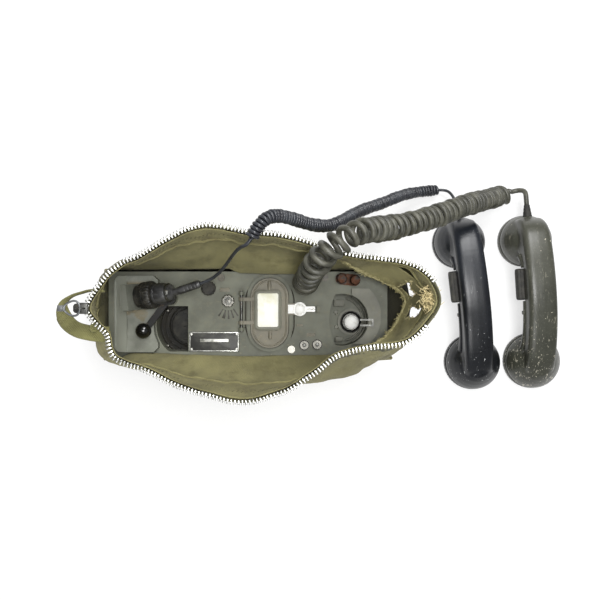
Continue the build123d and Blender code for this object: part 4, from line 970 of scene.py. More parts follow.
class FIELDSET_OT_bag(bpy.types.Operator):
    """Builds the sagging canvas bag with its inner facing, seams, torn end and base"""
    bl_idname = "fieldset.bag"
    bl_label = "Bag"

    def execute(self, context):
        points = [wall(j / AROUND, level) for level in LEVELS for j in range(AROUND)]
        shell = sheet("bag_canvas", points, whole(points, len(LEVELS), AROUND), "canvas", 1.5, -1)
        tag(shell, "root", "canvas", "bag_shell")
        self.facing()
        self.seams()
        self.end_shade_sheet()
        self.flap()
        self.base()
        return {"FINISHED"}

    def facing(self):
        """The inner facing under the zipper, with the roll of its wavy lower edge."""
        rows = 9
        shares = [j / AROUND for j in range(AROUND)]
        points = [wall(share, RIM - 1 - hem(share) * i / (rows - 1), 2.6)
                  for i in range(rows) for share in shares]
        facing = sheet("bag_facing", points, whole(points, rows, AROUND), "facing", 0.9, 0)
        tag(facing, "root", "canvas")
        edge = [Vector(wall(share, RIM - 1 - hem(share), 3.3)) for share in shares]
        build = Build()
        run = []
        for point in edge + edge[:1]:
            if not torn(tuple(point)):
                run.append(point)
                continue
            if len(run) > 3:
                build.rod(run, 1.6)
            run = []
        build.rod(run, 1.6).piece("bag_facing_hem", "facing", "root", "canvas")

    def end_shade_sheet(self):
        """A dark sheet low on the bag's right end wall: painted shade under the torn flap."""
        levels = [113, 120, 127, 134, 141, 148, 155]
        shares = [k / 600 for k in range(600) if wall_base(k / 600, 130)[0] > 120]
        shares = sorted(shares, key=lambda v: math.atan2(*reversed(wall_base(v, 130))))
        points = [wall(share, level, 3.8 if level > 150 else 3.4) for level in levels for share in shares]
        faces = grid_faces(len(levels), len(shares), False)
        tag(make("bag_end_lining", points, faces, "dark_lining"), "root", "canvas")

    def seams(self):
        """Rows of stitches beside the zipper and above the hem, and round the foot."""
        build = Build()
        for depth, lift in ((13.5, 3), (16.5, 3), (14.5, -0.5), (18, -0.5),
                            (RIM - 9, -0.55), (RIM - 106, -0.55)):
            self.row(build, depth, lift, sizes().stitch_long / MM)
        build.piece("bag_stitches", "thread", "root", "canvas")

    def row(self, build, depth, lift, long):
        """One row of stitches at a depth below the rim."""
        count = 1400
        ring = [Vector(wall(j / count, RIM - depth, lift)) for j in range(count)]
        gone = 0
        start = 0
        for j in range(1, count):
            gone += (ring[j] - ring[j - 1]).length
            if gone < long:
                continue
            a, b = ring[start], ring[j - 1]
            if not torn(tuple(a)):
                middle = a.lerp(b, 0.5)
                build.rod([a, a.lerp(middle, 0.4), middle, b], [0.2, 0.42, 0.45, 0.2], 5)
            gone = -0.8
            start = j + 2 if j + 2 < count else 0

    def flap(self):
        """The torn lining at the right end, from its frayed edge out to the wall."""
        columns, rows = 74, 12
        edge = [Vector(p) for p in FLAP_EDGE]
        inner = even(edge, line_length(edge) / (columns - 1) * 0.9999)[:columns]
        outer = [Vector(wall(self.nearest(p), min(p.z + 34, RIM - 14), 3.6)) for p in inner]
        points = []
        for i in range(rows):
            t = i / (rows - 1)
            rag = 2.4 * (1 - t) ** 3
            for p, top in zip(inner, outer):
                spot = p.lerp(top, t)
                spot.z -= 5 * math.sin(math.pi * t)
                spot.x += noise.noise(p * 0.35) * rag
                spot.y += noise.noise(p * 0.35 + Vector((4, 4, 4))) * rag
                spot.z += noise.noise(spot * 0.09) * 2.2
                points.append(tuple(spot))
        faces = whole(points, rows, columns, False)
        tag(sheet("bag_torn_lining", points, faces, "facing", 0.9, 0), "root", "canvas")
        self.fray(inner)

    def nearest(self, point):
        """The share of the way round where the wall above is nearest to a point in plan."""
        count = AROUND * 4

        def away(j):
            x, y = wall_base(j / count, point.z + 22)
            return (x - point.x) ** 2 + (y - point.y) ** 2

        return min(range(count), key=away) / count

    def fray(self, edge):
        """Loose threads on the torn edges and a tuft where the end's seam gave way."""
        dice = random.Random(7)
        build = Build()
        rope = []
        for a, b in zip(edge, edge[1:]):
            for _ in range(6):
                start = a.lerp(b, dice.random())
                way = drawn(dice, (-1.2, 0.3), (-0.7, 0.7), (-0.4, 0.8))
                self.strand(build, dice, start, way, dice.uniform(1.5, 4.5))
            rope.append(a + drawn(dice, (-0.4, 0.4), (-0.4, 0.4)).to_3d() + Vector((0, 0, 0.6)))
        build.rod(rope, 1.25, 7)
        build.rod([p + Vector((1.9, 0.3, 0.9)) for p in rope], 0.8, 6)
        level = 172
        scale = PIXEL * (EYE[2] - level)
        for outline in TORN:
            for (ax, ay), (bx, by) in zip(outline, outline[1:] + outline[:1]):
                for k in range(9):
                    t = k / 9
                    x, y = EYE[0] + (ax + (bx - ax) * t) * scale, EYE[1] + (ay + (by - ay) * t) * scale
                    way = drawn(dice, (-1, 1), (-1, 1), (-0.5, 0.9))
                    start = Vector((x, y, level + dice.uniform(-4, 4)))
                    self.strand(build, dice, start, way, dice.uniform(1.5, 4))
        for _ in range(330):
            start = Vector((dice.gauss(188, 3.6), dice.gauss(17.5, 6.5), dice.uniform(196, 209)))
            way = drawn(dice, (-0.8, 1), (-1, 1), (-0.3, 0.9))
            self.strand(build, dice, start, way, dice.uniform(2, 6.5))
        build.piece("bag_frayed_threads", "fray", "root", "canvas")

    def strand(self, build, dice, start, way, reach):
        """One loose thread with a bend."""
        way = way.normalized()
        bend = drawn(dice, (-1, 1), (-1, 1), (-1, 1)) * 0.45
        path = [start + way * (reach * t) + bend * (reach * t * t) for t in (0, 0.25, 0.5, 0.75, 1)]
        build.rod(path, [0.42, 0.38, 0.34, 0.28, 0.14], 4)

    def base(self):
        """The base panel: quilted canvas over a stiff board, with a bound edge."""
        outline = [wall(j / 180, FOOT_Z)[:2] for j in range(180)]
        Build().slab(outline, 0, FOOT_Z + 0.4, 0.9).piece(
            "bag_base_panel", "base", "root", "canvas_base", "bag_base")
        ring = [Vector((x, y, 3.6)) for x, y in outline]
        rings = sweep_rings(ring + ring[:1], [1.5] * (len(ring) + 1), 8)
        Build().rings(rings, caps=False).piece("bag_base_piping", "tape", "root", "canvas")


# ---- zipper -------------------------------------------------------------------------
SLIDER_AT = (-158, 8)
TAPE = [(0.4, -13), (0.5, -8), (0.3, -3), (-0.2, 0.2), (-1.2, 1.4), (-1.9, 0.6), (-1.7, -1.2),
        (-0.9, -3.6), (-0.9, -9), (-0.6, -13)]
# One tooth: its sections along it (reach in tooth lengths, half width, half height) and their corners.
TOOTH = ((-0.42, 0.95, 1.3), (-0.1, 1, 1.5), (0.2, 0.9, 1.15), (0.42, 1.05, 1.05), (0.54, 0.75, 0.7))
TOOTH_CORNERS = ((-1, -0.7), (-0.7, -1), (0.7, -1), (1, -0.7), (1, 0.7), (0.7, 1), (-0.7, 1), (-1, 0.7))


def frayed_away(point):
    """The stretch of the right end where the zipper's tape has torn off."""
    return point.x > 168 and -9 < point.y < 34 and point.x + 0.75 * point.y > 173


class FIELDSET_OT_zipper(bpy.types.Operator):
    """Builds the zipper's tape, its metal teeth, the slider and its pull"""
    bl_idname = "fieldset.zipper"
    bl_label = "Zipper"

    def execute(self, context):
        self.tape()
        self.teeth()
        self.slider()
        return {"FINISHED"}

    def tape(self):
        """A woven tape with a beaded edge that holds the teeth."""
        points = []
        for across, up in TAPE:
            for j in range(AROUND):
                x, y, _ = wall(j / AROUND, RIM + min(0, up))
                nx, ny = outward(j / AROUND, RIM)
                points.append((x + nx * (across + 1.2), y + ny * (across + 1.2), RIM + up))
        last = (len(TAPE) - 1) * AROUND
        faces = grid_faces(len(TAPE), AROUND)
        for j in range(AROUND):
            k = (j + 1) % AROUND
            faces.append((last + j, last + k, k, j))
        tag(make("zipper_tape", points, faces, "tape"), "root", "zipper", "zipper_chain")

    def teeth(self):
        """One row of teeth all the way round the open mouth."""
        pitch, long = sizes().tooth_pitch / MM, sizes().tooth_long / MM
        count = 4000
        ring = [Vector(wall(j / count, RIM)) for j in range(count)]
        build = Build()
        gone = pitch
        for j in range(count):
            gone += (ring[j] - ring[j - 1]).length if j else 0
            if gone < pitch:
                continue
            gone = 0
            if frayed_away(ring[j]):
                continue
            nx, ny = outward(j / count, RIM)
            normal, along = Vector((nx, ny, 0)), Vector((-ny, nx, 0))
            at = ring[j] + normal * 0.9 + Vector((0, 0, 1.1))
            tilt = 0.18 + 0.1 * noise.noise(Vector((j / count * 50, 2, 2)))
            out = (normal + Vector((0, 0, tilt))).normalized()
            up = out.cross(along).normalized()
            up = up if up.z > 0 else -up
            build.rings([[at + out * (reach * long) + along * (a * wide * 0.95) + up * (b * thick * 0.9)
                          for a, b in TOOTH_CORNERS] for reach, wide, thick in TOOTH])
        build.piece("zipper_teeth", "tooth", "root", "zip_metal", crease=50)

    def slider(self):
        """The slider's two plates and bridge, and the teardrop pull with its tag."""
        build = Build()
        x, y = SLIDER_AT
        corners = [(7, 4.4), (5, 5.6), (0, 5.6), (-5.5, 4.4), (-7, 2.6)]
        outline = [(x + a, y - b) for a, b in reversed(corners)] + [(x + a, y + b) for a, b in corners]
        for low, high in ((218, 219.3), (221.6, 223)):
            build.slab(outline, low, high, 0.5)
        build.box((x - 2.5, y - 1.6, 219), (x + 5.5, y + 1.6, 222), 0.3)
        arch = ((-4.5, 222.8), (-3.2, 225.4), (0, 227.1), (3.2, 225.4), (4.5, 222.8))
        bridge = [(x + a, y, z) for a, z in arch]
        build.rod(smooth_line(bridge, 20), 1, 8, 0.7)
        build.piece("zipper_slider", "dark_steel", "root", "zip_metal", "zip_slider")
        z = 224.6
        path = []
        for i in range(41):
            a = 2 * math.pi * i / 40
            reach = 0.5 + 0.5 * math.cos(a)
            wide = 9 * math.sin(a) * (0.45 + 0.55 * (1 - reach) ** 0.7)
            path.append((x - 16 * reach ** 1.1, y + wide, z))
        pull = Build().rod(path, 1.1).box((x - 22, y - 3, z - 0.8), (x - 14, y + 3, z + 0.8))
        pull.piece("zipper_pull", "zinc", "pull", "zip_metal", "zip_pull")


# ---- webbing loop -------------------------------------------------------------------
LOOP_COURSE = [
    (-139, 25, 202), (-152.1, 25.8, 202), (-162, 23.6, 201.8), (-172, 20.2, 201.4),
    (-180, 13.8, 201.2), (-181.6, 5.6, 201), (-178.8, -3, 201.2), (-173.4, -9.6, 201.6),
    (-166, -14, 202), (-157, -16.4, 202.6), (-147, -17.8, 203.4), (-134, -18.4, 204.4)]


class FIELDSET_OT_loop(bpy.types.Operator):
    """Builds the webbing loop at the bag's left end and the knot that ties it"""
    bl_idname = "fieldset.loop"
    bl_label = "Webbing loop"

    def execute(self, context):
        wide = sizes().webbing_wide / MM / 2
        build = Build()
        path = smooth_line(LOOP_COURSE, 96)
        self.band(build, path, lambda t: wide * (0.42 + 0.78 * ease((t - 0.26) / 0.3)),
                  lambda t: 1.25 * (1 - ease((t - 0.2) / 0.35)) + 0.16, 1.15)
        under = [p + Vector((2 * math.sin(i * 0.1), -2.6, -3.4)) for i, p in enumerate(path) if i > 46]
        self.band(build, under, lambda t: wide * 0.96, lambda t: 0.3 + 0.2 * t, 1.1)
        build.piece("webbing_loop", "webbing", "root", "webbing", "carry_loop", 60)
        turns = []
        for i in range(70):
            a = i * 0.36
            turns.append((-147.5 + 3.4 * math.cos(a) + i * 0.02, -11 + 3.8 * math.sin(a * 1.07),
                          207.5 + 2 * math.sin(a * 0.55)))
        Build().rod(smooth_line(turns, 180), 1.5, 7).piece("loop_knot", "webbing", "root", "webbing")
        return {"FINISHED"}

    def band(self, build, path, half, turn, thick):
        """A ribbed strap along a path: its half width and its turn on edge change along it."""
        across = [-1, -0.93, -0.7, -0.4, 0, 0.4, 0.7, 0.93, 1]
        up = Vector((0, 0, 1))
        last = len(path) - 1
        rings = []
        for i, p in enumerate(path):
            t = i / last
            ahead = (path[min(i + 1, last)] - path[max(i - 1, 0)]).normalized()
            flat_side = Vector((ahead.y, -ahead.x, 0)).normalized()
            side = flat_side * math.cos(turn(t)) + up * math.sin(turn(t))
            face = up * math.cos(turn(t)) - flat_side * math.sin(turn(t))
            ring = []
            for sign, steps in ((1, across), (-1, across[::-1])):
                for a in steps:
                    rise = thick * (1 - 0.6 * abs(a) ** 8) + (0.14 * math.cos(a * 16) if sign > 0 else 0)
                    ring.append(p + side * (a * half(t)) + face * (sign * rise))
            rings.append(ring)
        build.rings(rings)


# ---- handsets -----------------------------------------------------------------------
BACK = [(101, 22), (99, 46), (84, 66), (40, 76.5), (-10, 77),
        (-52, 66), (-84, 48), (-98, 24)]
INSIDE = [(74, 22), (62, 40), (44, 50), (10, 54), (-30, 51), (-56, 42),
          (-70, 22)]
EAR_DOME = [(0.1, 14), (30.6, 11.8), (31.4, 14), (31.2, 19), (29.6, 27), (26.5, 35), (22.5, 43),
            (17, 50), (9, 54), (0.1, 55)]
MOUTH_DOME = [(0.1, 14), (33, 11.8), (33.8, 14), (33.2, 18), (30.8, 25), (27, 32),
              (22, 39), (16, 45), (9, 48.5), (0.1, 50)]
BOOT_STUB = [(0.1, 92), (7, 92), (7.2, 100), (6.6, 103.5), (0.1, 104)]
EAR_Y, MOUTH_Y = 75, -75
# Side, place and turn in degrees, finish, slot, cord's end, boot's inner diameter and length.
HANDSETS = (
    ("left", (265.2, 13.3, 6.6), "navy", "navy_plastic", THIN_LEAD_HANDSET[-1], 3.6, 9),
    ("right", (343.5, 15.2, 3.5), "olive", "olive_plastic", THICK_LEAD[-1], 6.4, 15))


def handle_section(back, front, half):
    """One ring of the handle between a back point and an inside point."""
    middle, reach = (back + front) / 2, (back - front) / 2
    ring = []
    for k in range(32):
        a = 2 * math.pi * k / 32
        c, s = math.cos(a), math.sin(a)
        across = math.copysign(abs(c) ** (0.26 if s < 0 else 0.36), c)
        up = math.copysign(abs(s) ** (0.3 if s < 0 else 0.5), s)
        crown = 1 if s < 0 else 1 + 0.05 * (1 - across ** 2)
        ring.append(middle + Vector((across * (half + 2.6 * max(0, -s)), 0, 0)) + reach * (up * crown))
    return ring


class FIELDSET_OT_handsets(bpy.types.Operator):
    """Builds the two handsets with their caps, talk bars, ribs and screws"""
    bl_idname = "fieldset.handsets"
    bl_label = "Handsets"

    def execute(self, context):
        for side, (x, y, degrees), shade, plastic, cord_end, wire, boot in HANDSETS:
            angle = math.radians(degrees)
            turn = Matrix.Translation(Vector((x, y, 0)) * MM) @ Matrix.Rotation(angle, 4, "Z")
            body = f"{side}_handset"
            pieces = [(self.shell(side, shade), body, plastic, f"{side}_shell"),
                      (self.cap(side, "ear", EAR_Y, 32, shade), body, plastic, f"{side}_ear_cap"),
                      (self.cap(side, "mouth", MOUTH_Y, 34.5, shade), body, plastic, f"{side}_mouth_cap"),
                      (self.talk_bar(side), f"{side}_talk", "rubber", f"{side}_talk_bar"),
                      (self.rib(side, shade), body, plastic), (self.screws(side), body, "steel")]
            for obj, *tags in pieces:
                obj.data.transform(turn)
                tag(obj, *tags)
            end = Vector(cord_end)
            start = end - Vector((-math.sin(angle), math.cos(angle), 0)) * (boot * MM)
            strain_relief(f"{side}_cord_boot", f"{side}_boot", start, end,
                          wire / 2 + 2.4, wire / 2 + 0.35, body)
            dress(f"{side}_capsules", "zinc")
        return {"FINISHED"}

    def shell(self, side, shade):
        """The moulded shell: a handle that flares into two domes, run together and smoothed."""
        count = 48
        backs = smooth_line([(0, *p) for p in BACK], count)
        fronts = smooth_line([(0, *p) for p in INSIDE], count)
        rings = []
        for k, (back, front) in enumerate(zip(backs, fronts)):
            half = 17.2 + 1.2 * (2 * k / (count - 1) - 1) ** 4
            rings.append(handle_section(back - Vector((0, 0, 0.6)), front, half))
        build = Build().rings(rings)
        build.lathe(EAR_DOME, (0, EAR_Y, 0), sides=72).lathe(MOUTH_DOME, (0, MOUTH_Y, 0), sides=72)
        build.lathe(BOOT_STUB, (0, 0, 30), (0, 1, 0), 28)
        shell = make(f"{side}_handset_shell", build.points, build.faces, shade)
        modify(shell, "REMESH", mode="VOXEL", voxel_size=1.3 * MM, use_smooth_shade=True)
        modify(shell, "SMOOTH", factor=0.5, iterations=6)
        self.trim(shell)
        shell.data.materials.clear()
        shell.data.materials.append(finish(shade))
        return shell

    def trim(self, shell):
        """Cuts the talk bar's slot and flattens the shell where its caps screw on."""
        slot = [[(-26, 1.4, z), (-8.6, 1.4, z), (-8.6, 40.6, z), (-26, 40.6, z)] for z in (45.6, 60.4)]
        cutter = Build().rings(slot)
        cut = make("slot_cutter", cutter.points, cutter.faces, "rubber", smooth=False)
        bm = bmesh.new()
        bm.from_mesh(cut.data)
        bmesh.ops.recalc_face_normals(bm, faces=bm.faces)
        bm.to_mesh(cut.data)
        bm.free()
        modify(shell, "BOOLEAN", operation="DIFFERENCE", object=cut, solver="EXACT")
        bpy.data.objects.remove(cut)
        for vertex in shell.data.vertices:
            vertex.co.z = max(vertex.co.z, 11.3 * MM)

    def cap(self, side, end, y, radius, shade):
        """A screwed cap with a milled edge and two rings of sound holes."""
        edge = [(4, 10.6), (1.6, 10.9), (0.5, 10.3), (0.2, 9.2), (0.1, 8), (0.9, 7.4), (0.9, 6.6),
                (0, 6), (0, 2.4), (0.6, 0.9), (2.2, 0.1), (6, 0.1), (7, 0.9)]
        profile = [(radius - inset, height) for inset, height in edge]
        profile += [(radius * 0.55, 1.4), (radius * 0.3, 0.9), (0.2, 0.8)]

        def mill(i, r, height):
            return 1 - 0.006 * (i % 2) * (2 < height < 6.2) * (r > radius - 1.5)

        build = Build().lathe(profile, (0, y, 0), sides=96, wobble=mill)
        for ring, count in ((0.3, 6), (0.5, 10)):
            for k in range(count):
                a = 2 * math.pi * k / count
                spot = (radius * ring * math.cos(a), y + radius * ring * math.sin(a), 0)
                build.lathe([(1.9, 1.5), (1.9, 0.35), (1.3, 0.3), (1.2, 1.2)], spot, sides=12)
        return build.piece(f"{side}_{end}_cap_milled", shade)

    def talk_bar(self, side):
        """The rubber talk bar with a rolled edge and two shallow grooves."""
        rings = []
        for x, grow in ((-12.4, 0), (-20.6, 0), (-21, -0.4), (-21.2, 0), (-23.2, -0.1),
                        (-24.4, -0.8), (-24.9, -2.2)):
            outline = rounded(21, 53, 37.6 + 2 * grow, 13.6 + 2 * grow, 2.6)
            rings.append([(x, *p) for p in outline])
        return Build().rings(rings).piece(f"{side}_talk_bar_grip", "rubber")

    def rib(self, side, shade):
        """The raised rib along the handle's side, on both sides of the talk bar."""
        lower = [(-16.6, 0.5, 56.5), (-16.8, -14, 55), (-17, -32, 51), (-17.6, -46, 45),
                 (-18.6, -56, 38)]
        upper = [(-16.6, 41.5, 56.5), (-16.9, 48, 54.5), (-18, 55, 49)]
        build = Build()
        for line, count in ((lower, 30), (upper, 14)):
            build.rings(sweep_rings(smooth_line(line, count), [4.2] * count, 14, 0.62, (0, 0, 1)))
        return build.piece(f"{side}_handle_rib", shade)

    def screws(self, side):
        """Small screws in the handle's side."""
        build = Build()
        for y, z in ((-13, 53), (46, 54)):
            build.lathe([(2.3, -9), (2.3, 0.1), (1.9, 0.6), (0.1, 0.75)], (-19.4, y, z), (-1, 0, 0), 18)
        return build.piece(f"{side}_handle_screws", "dark_steel")


# ---- plug ---------------------------------------------------------------------------
PLUG_AT = Vector((-108.6, 20.9, 144.6))
PLUG_AXIS = Vector((0.93270, 0.11452, 0.34202))
BOOT_END = Vector(THIN_LEAD_PLUG[0]) / MM
PLUG_RING = [(11.5, -8.8), (12, -9), (12.3, -8.4), (12.3, -4.4), (13.4, -3.6), (14.4, -2.4), (14.6, 1.6),
             (13.2, 2.4), (13.2, 3.2), (14.8, 4), (14.8, 9), (13.8, 10.6), (12.2, 11.1), (11.2, 11.2),
             (7.8, 11.2), (7.8, 9.8), (11.5, 9.4), (11.5, -8.8)]
PLUG_BODY = [(7.2, -6.3), (7.2, 11.4), (10.6, 11.5), (11.3, 12.3), (11.3, 14), (10.9, 14.5), (11.4, 15.2),
             (11, 24), (9.8, 26.4), (8.9, 29.2), (8.8, 31.6), (7.2, 32.6), (6, 32.8), (0.2, 32.8)]


def knurl(share, inner, top=1e9):
    """A wobble for a turned edge: pairs of ridges and grooves outside a radius and below a level."""
    return lambda i, radius, height: 1 + share * (1 if i % 4 < 2 else -1) * (radius > inner) * (height < top)


class FIELDSET_OT_plug(bpy.types.Operator):
    """Builds the audio plug: its milled coupling ring, body, clamp and boot"""
    bl_idname = "fieldset.plug"
    bl_label = "Plug"

    def execute(self, context):
        ring = Build().lathe(PLUG_RING, PLUG_AT, PLUG_AXIS, 112, knurl(0.022, 13), False)
        ring.piece("plug_coupling_ring", "ring", "plug_ring", "rubber", "plug_ring")
        body = Build().lathe(PLUG_BODY, PLUG_AT, PLUG_AXIS, 64)
        side = PLUG_AXIS.orthogonal().normalized()
        other = PLUG_AXIS.cross(side)
        for turn in (0.7, 2.2, 3.9, 5.3):
            out = side * math.cos(turn) + other * math.sin(turn)
            start = PLUG_AT + PLUG_AXIS * 14 + out * 10.9
            body.rod([start + PLUG_AXIS * k * 1.6 for k in range(6)], [0.5, 0.9, 0.9, 0.9, 0.9, 0.5], 6)
        body.piece("plug_body_shell", "plug", "plug", "plug_black", "plug_body")
        clamp = Build()
        clamp.lathe([(9.2, 27.2), (9.9, 27.5), (10.1, 28.4), (9.9, 29.6), (9.2, 30)],
                    PLUG_AT, PLUG_AXIS, 64)
        clamp.box(PLUG_AT + PLUG_AXIS * 26.8 + Vector((-1.2, -2, 9)),
                  PLUG_AT + PLUG_AXIS * 30.4 + Vector((-1.2, 2, 11)))
        clamp.piece("plug_clamp_band", "dark_steel", "plug", "nickel")
        self.boot()
        dress("audio_receptacle", "housing")
        return {"FINISHED"}

    def boot(self):
        """The moulded boot bends away from the plug and steps down to the cord."""
        start = PLUG_AT + PLUG_AXIS * 32.9
        bend = start + PLUG_AXIS * 5
        path = smooth_line([start, bend, bend.lerp(BOOT_END, 0.35), bend.lerp(BOOT_END, 0.7), BOOT_END], 48)
        radii = []
        for k in range(48):
            t = k / 47
            radius = 3.9 + 0.5 * ease((t - 0.3) / 0.06)
            if t < 0.1:
                radius = 6.2 - 2.3 * ease(t / 0.1)
            if t > 0.9:
                radius -= 1.4 * (t - 0.9) / 0.1
            if 0.44 < t < 0.9 and k % 5 == 0:
                radius -= 0.3
            radii.append(radius)
        Build().rod(path, radii, 22).piece("plug_cord_boot", "plug", "plug", "plug_black", "plug_boot")


# ---- panel --------------------------------------------------------------------------
HOOK_AT = (116.6, -8.9)
SELECTOR_AT = (-22.3, 15.1)
PLATE = (-66, -41.7, -9.9, -19.2)   # left, front, right and back edges


class FIELDSET_OT_panel(bpy.types.Operator):
    """Finishes the case and its panel and adds the dish, recess, plate and marks"""
    bl_idname = "fieldset.panel"
    bl_label = "Panel"

    def execute(self, context):
        for nodes, shade in (("case_shell", "case"), ("panel_plate", "panel"), ("end_housing", "housing"),
                             ("panel_screws", "screw"), ("cradle_rest cradle_ring", "ridge"),
                             ("hook_button", "white"), ("cradle_clip", "dark_steel")):
            dress(nodes, shade)
        self.dish()
        self.recess()
        self.hook()
        self.plate()
        self.marks()
        self.housing()
        return {"FINISHED"}

    def dish(self):
        """The dish's dusty floor with its raised arcs, and the rubber pad at its straight side."""
        floor = Build().slab(half_disc(-67.4, -13.2, 34.9, (-41, 8.9)), DISH_FLOOR, 91.6, 0.2)
        for radius in (33, 28.5, 24):
            angles = [math.radians(98 + 164 * k / 59) for k in range(60)]
            path = [(-67 + radius * math.cos(a), -13.2 + radius * math.sin(a), 91.9) for a in angles]
            floor.rod([p for p in path if -40 < p[1] < 8], 0.9, 6)
        floor.piece("dish_floor", "lining", "root", "panel_paint")
        pad = Build().slab(half_disc(-67.1, -13.2, 19.9, (-34, 7.5)), DISH_FLOOR, 105, 2.2)
        for k in range(5):
            y = -28 + k * 7.4
            pad.rod([(-67.6, y, 104.9), (-74, y, 104.9)], 0.7, 6)
        made = pad.piece("dish_rubber_pad", "rubber", "root", "rubber", "rest_pad")

    def recess(self):
        """Cast steps, arcs and tabs round the hook switch."""
        build = Build()
        for radius, high, half in ((28.4, 97, 62), (24.6, 93, 75)):
            angles = [math.radians(2 * half * k / 49 - half) for k in range(50)]
            path = [(104.9 + radius * math.cos(a), -5.9 + radius * math.sin(a), high) for a in angles]
            build.rod(path, 1.1, 6)
            build.rings([[(x, y, RECESS_FLOOR), (x, y, z), (x - 0.9, y, z), (x - 0.9, y, RECESS_FLOOR)]
                         for x, y, z in path])
        for x, y, wide, deep in ((103, 12.6, 12, 8), (103, -28.6, 9, 6)):
            build.slab(rounded(x, y, wide, deep, 1.5), RECESS_FLOOR, 95, 0.8)
        for x, y in ((100, -15), (99.5, 2)):
            build.lathe([(2.4, RECESS_FLOOR), (2.4, 91), (1.8, 91.6), (0.1, 91.7)], (x, y, 0), sides=20)
        build.piece("recess_casting", "ridge", "root", "panel_paint")

    def hook(self):
        """The hook switch's spring, its cup and the crown of its button."""
        x, y = HOOK_AT
        whole_turns = 10 * math.pi
        angles = [whole_turns * k / 120 for k in range(121)]
        coil = [(x + 4.6 * math.cos(a), y + 4.6 * math.sin(a), 89.6 + 7.8 * a / whole_turns) for a in angles]
        made = Build().rod(coil, 0.55).piece(
            "hook_spring_coil", "dark_steel", "root", "steel", "hook_spring")
        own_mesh(made)
        cup = [(12.5, RECESS_FLOOR), (12.5, 91.8), (11.4, 92.2), (10.6, 91.6), (9.4, 89.8), (3.6, 89.4)]
        Build().lathe(cup, (x, y, 0), sides=56).piece("hook_button_cup", "dark_steel", "root", "dark_steel")
        crown = [(7, 101), (6.6, 101.7), (5.2, 102.1), (0.1, 102.3)]
        Build().lathe(crown, (x, y, 0), sides=44).piece(
            "hook_button_crown", "white", "button", "white_plastic")

    def plate(self):
        """The blank data plate: dark field, bright border and strip, four rivets."""
        x0, y0, x1, y1 = PLATE
        field = rounded((x0 + x1) / 2, (y0 + y1) / 2, x1 - x0, y1 - y0, 1.6)
        Build().slab(field, PANEL, 115.8, 0.25).piece(
            "data_plate", "plate", "root", "plate_metal", "nameplate")
        lines = Build()
        corners = [(x0 + 1, y0 + 1), (x1 - 1, y0 + 1), (x1 - 1, y1 - 1), (x0 + 1, y1 - 1)]
        for (ax, ay), (bx, by) in zip(corners, corners[1:] + corners[:1]):
            lines.box((min(ax, bx) - 0.5, min(ay, by) - 0.5, 115.6),
                      (max(ax, bx) + 0.5, max(ay, by) + 0.5, 115.95), 0.1)
        lines.box((-53.5, -30.8, 115.6), (-21.8, -27.4, 115.95), 0.1)
        for x in (x0 + 2.9, x1 - 2.9):
            for y in (y0 + 2.9, y1 - 2.9):
                lines.lathe([(1.5, 115.6), (1.5, 116), (1.1, 116.5), (0.1, 116.6)], (x, y, 0), sides=16)
        lines.piece("data_plate_border", "bright_line", "root", "plate_metal")

    def marks(self):
        """Raised strokes round the selector, dark bars of painted shade for the screws' slots, and plain
        blocks where labels are cast.
        """
        wedges = Build()
        middle = Vector(SELECTOR_AT)
        for degrees in (-122, -105, -88, -72, -56):
            way = Vector((math.cos(math.radians(degrees)), math.sin(math.radians(degrees))))
            side = Vector((-way.y, way.x))
            near, far = middle + way * 10.5, middle + way * 20
            spread = 1 + 0.9 * (degrees % 2)
            wedges.slab([near - side * 0.6, far - side * spread, far + side * spread, near + side * 0.6],
                        PANEL, 115.2, 0.05)
        wedges.piece("selector_marks", "well", "root", "panel_paint")
        # Painted shade: dark bars on the screw heads stand for the shade in their slots.
        slots = Build()
        long, wide = CASE_HALF
        for x, y in ((48.6, 9 - wide), (-30, wide - 7), (86, wide - 7),
                     (long - 7, wide - 8), (long - 7, 8 - wide)):
            slots.box((x - 3.8, y - 0.58, 115.1), (x + 3.8, y + 0.58, 115.9), 0.05)
        slots.piece("panel_screw_slots", "well", "root", "screw_steel")
        blocks = Build()
        for x, y, wide, deep in ((-26, 27.6, 11, 4.4), (70.4, -22.6, 9.5, 3.6), (57.9, -12, 7, 2.6)):
            blocks.slab(rounded(x, y, wide, deep, 0.6, 3), PANEL, 115.35, 0.15)
        blocks.piece("panel_cast_marks", "lid", "root", "panel_paint")

    def housing(self):
        """Two beads along the end housing and the pins in the dish."""
        build = Build()
        build.rod([(-132.6, y, 127) for y in (-36, -18, 0, 18, 37.5)], 0.9, 8, 0.5)
        build.rod([(-148, y, 116.6) for y in (-36, -12, 12, 37.5)], 0.8, 8, 0.6)
        build.piece("end_housing_beads", "housing", "root", "housing_paint")
        pins = Build()
        for y in (4.1, -35.4):
            pins.lathe([(1.5, DISH_FLOOR), (1.5, 105.4), (1.1, 106.3), (0.1, 106.5)],
                       (-91.2, y, 0), sides=16)
        pins.piece("dish_pins", "nickel", "root", "screw_steel")


# ---- controls -----------------------------------------------------------------------
VOLUME_AT = (-43.9, 29.2)
GLAND = [(12.3, 115), (12.4, 117.6), (11.6, 118.9), (10.8, 119.2), (10.8, 121.4), (10.2, 121.9),
         (10.4, 122.6), (10.2, 124.6), (9.6, 125.1), (9.8, 125.8), (9.6, 127.6), (9, 128.1),
         (9.1, 128.8), (8.8, 130.4), (7.6, 131), (3.4, 131)]


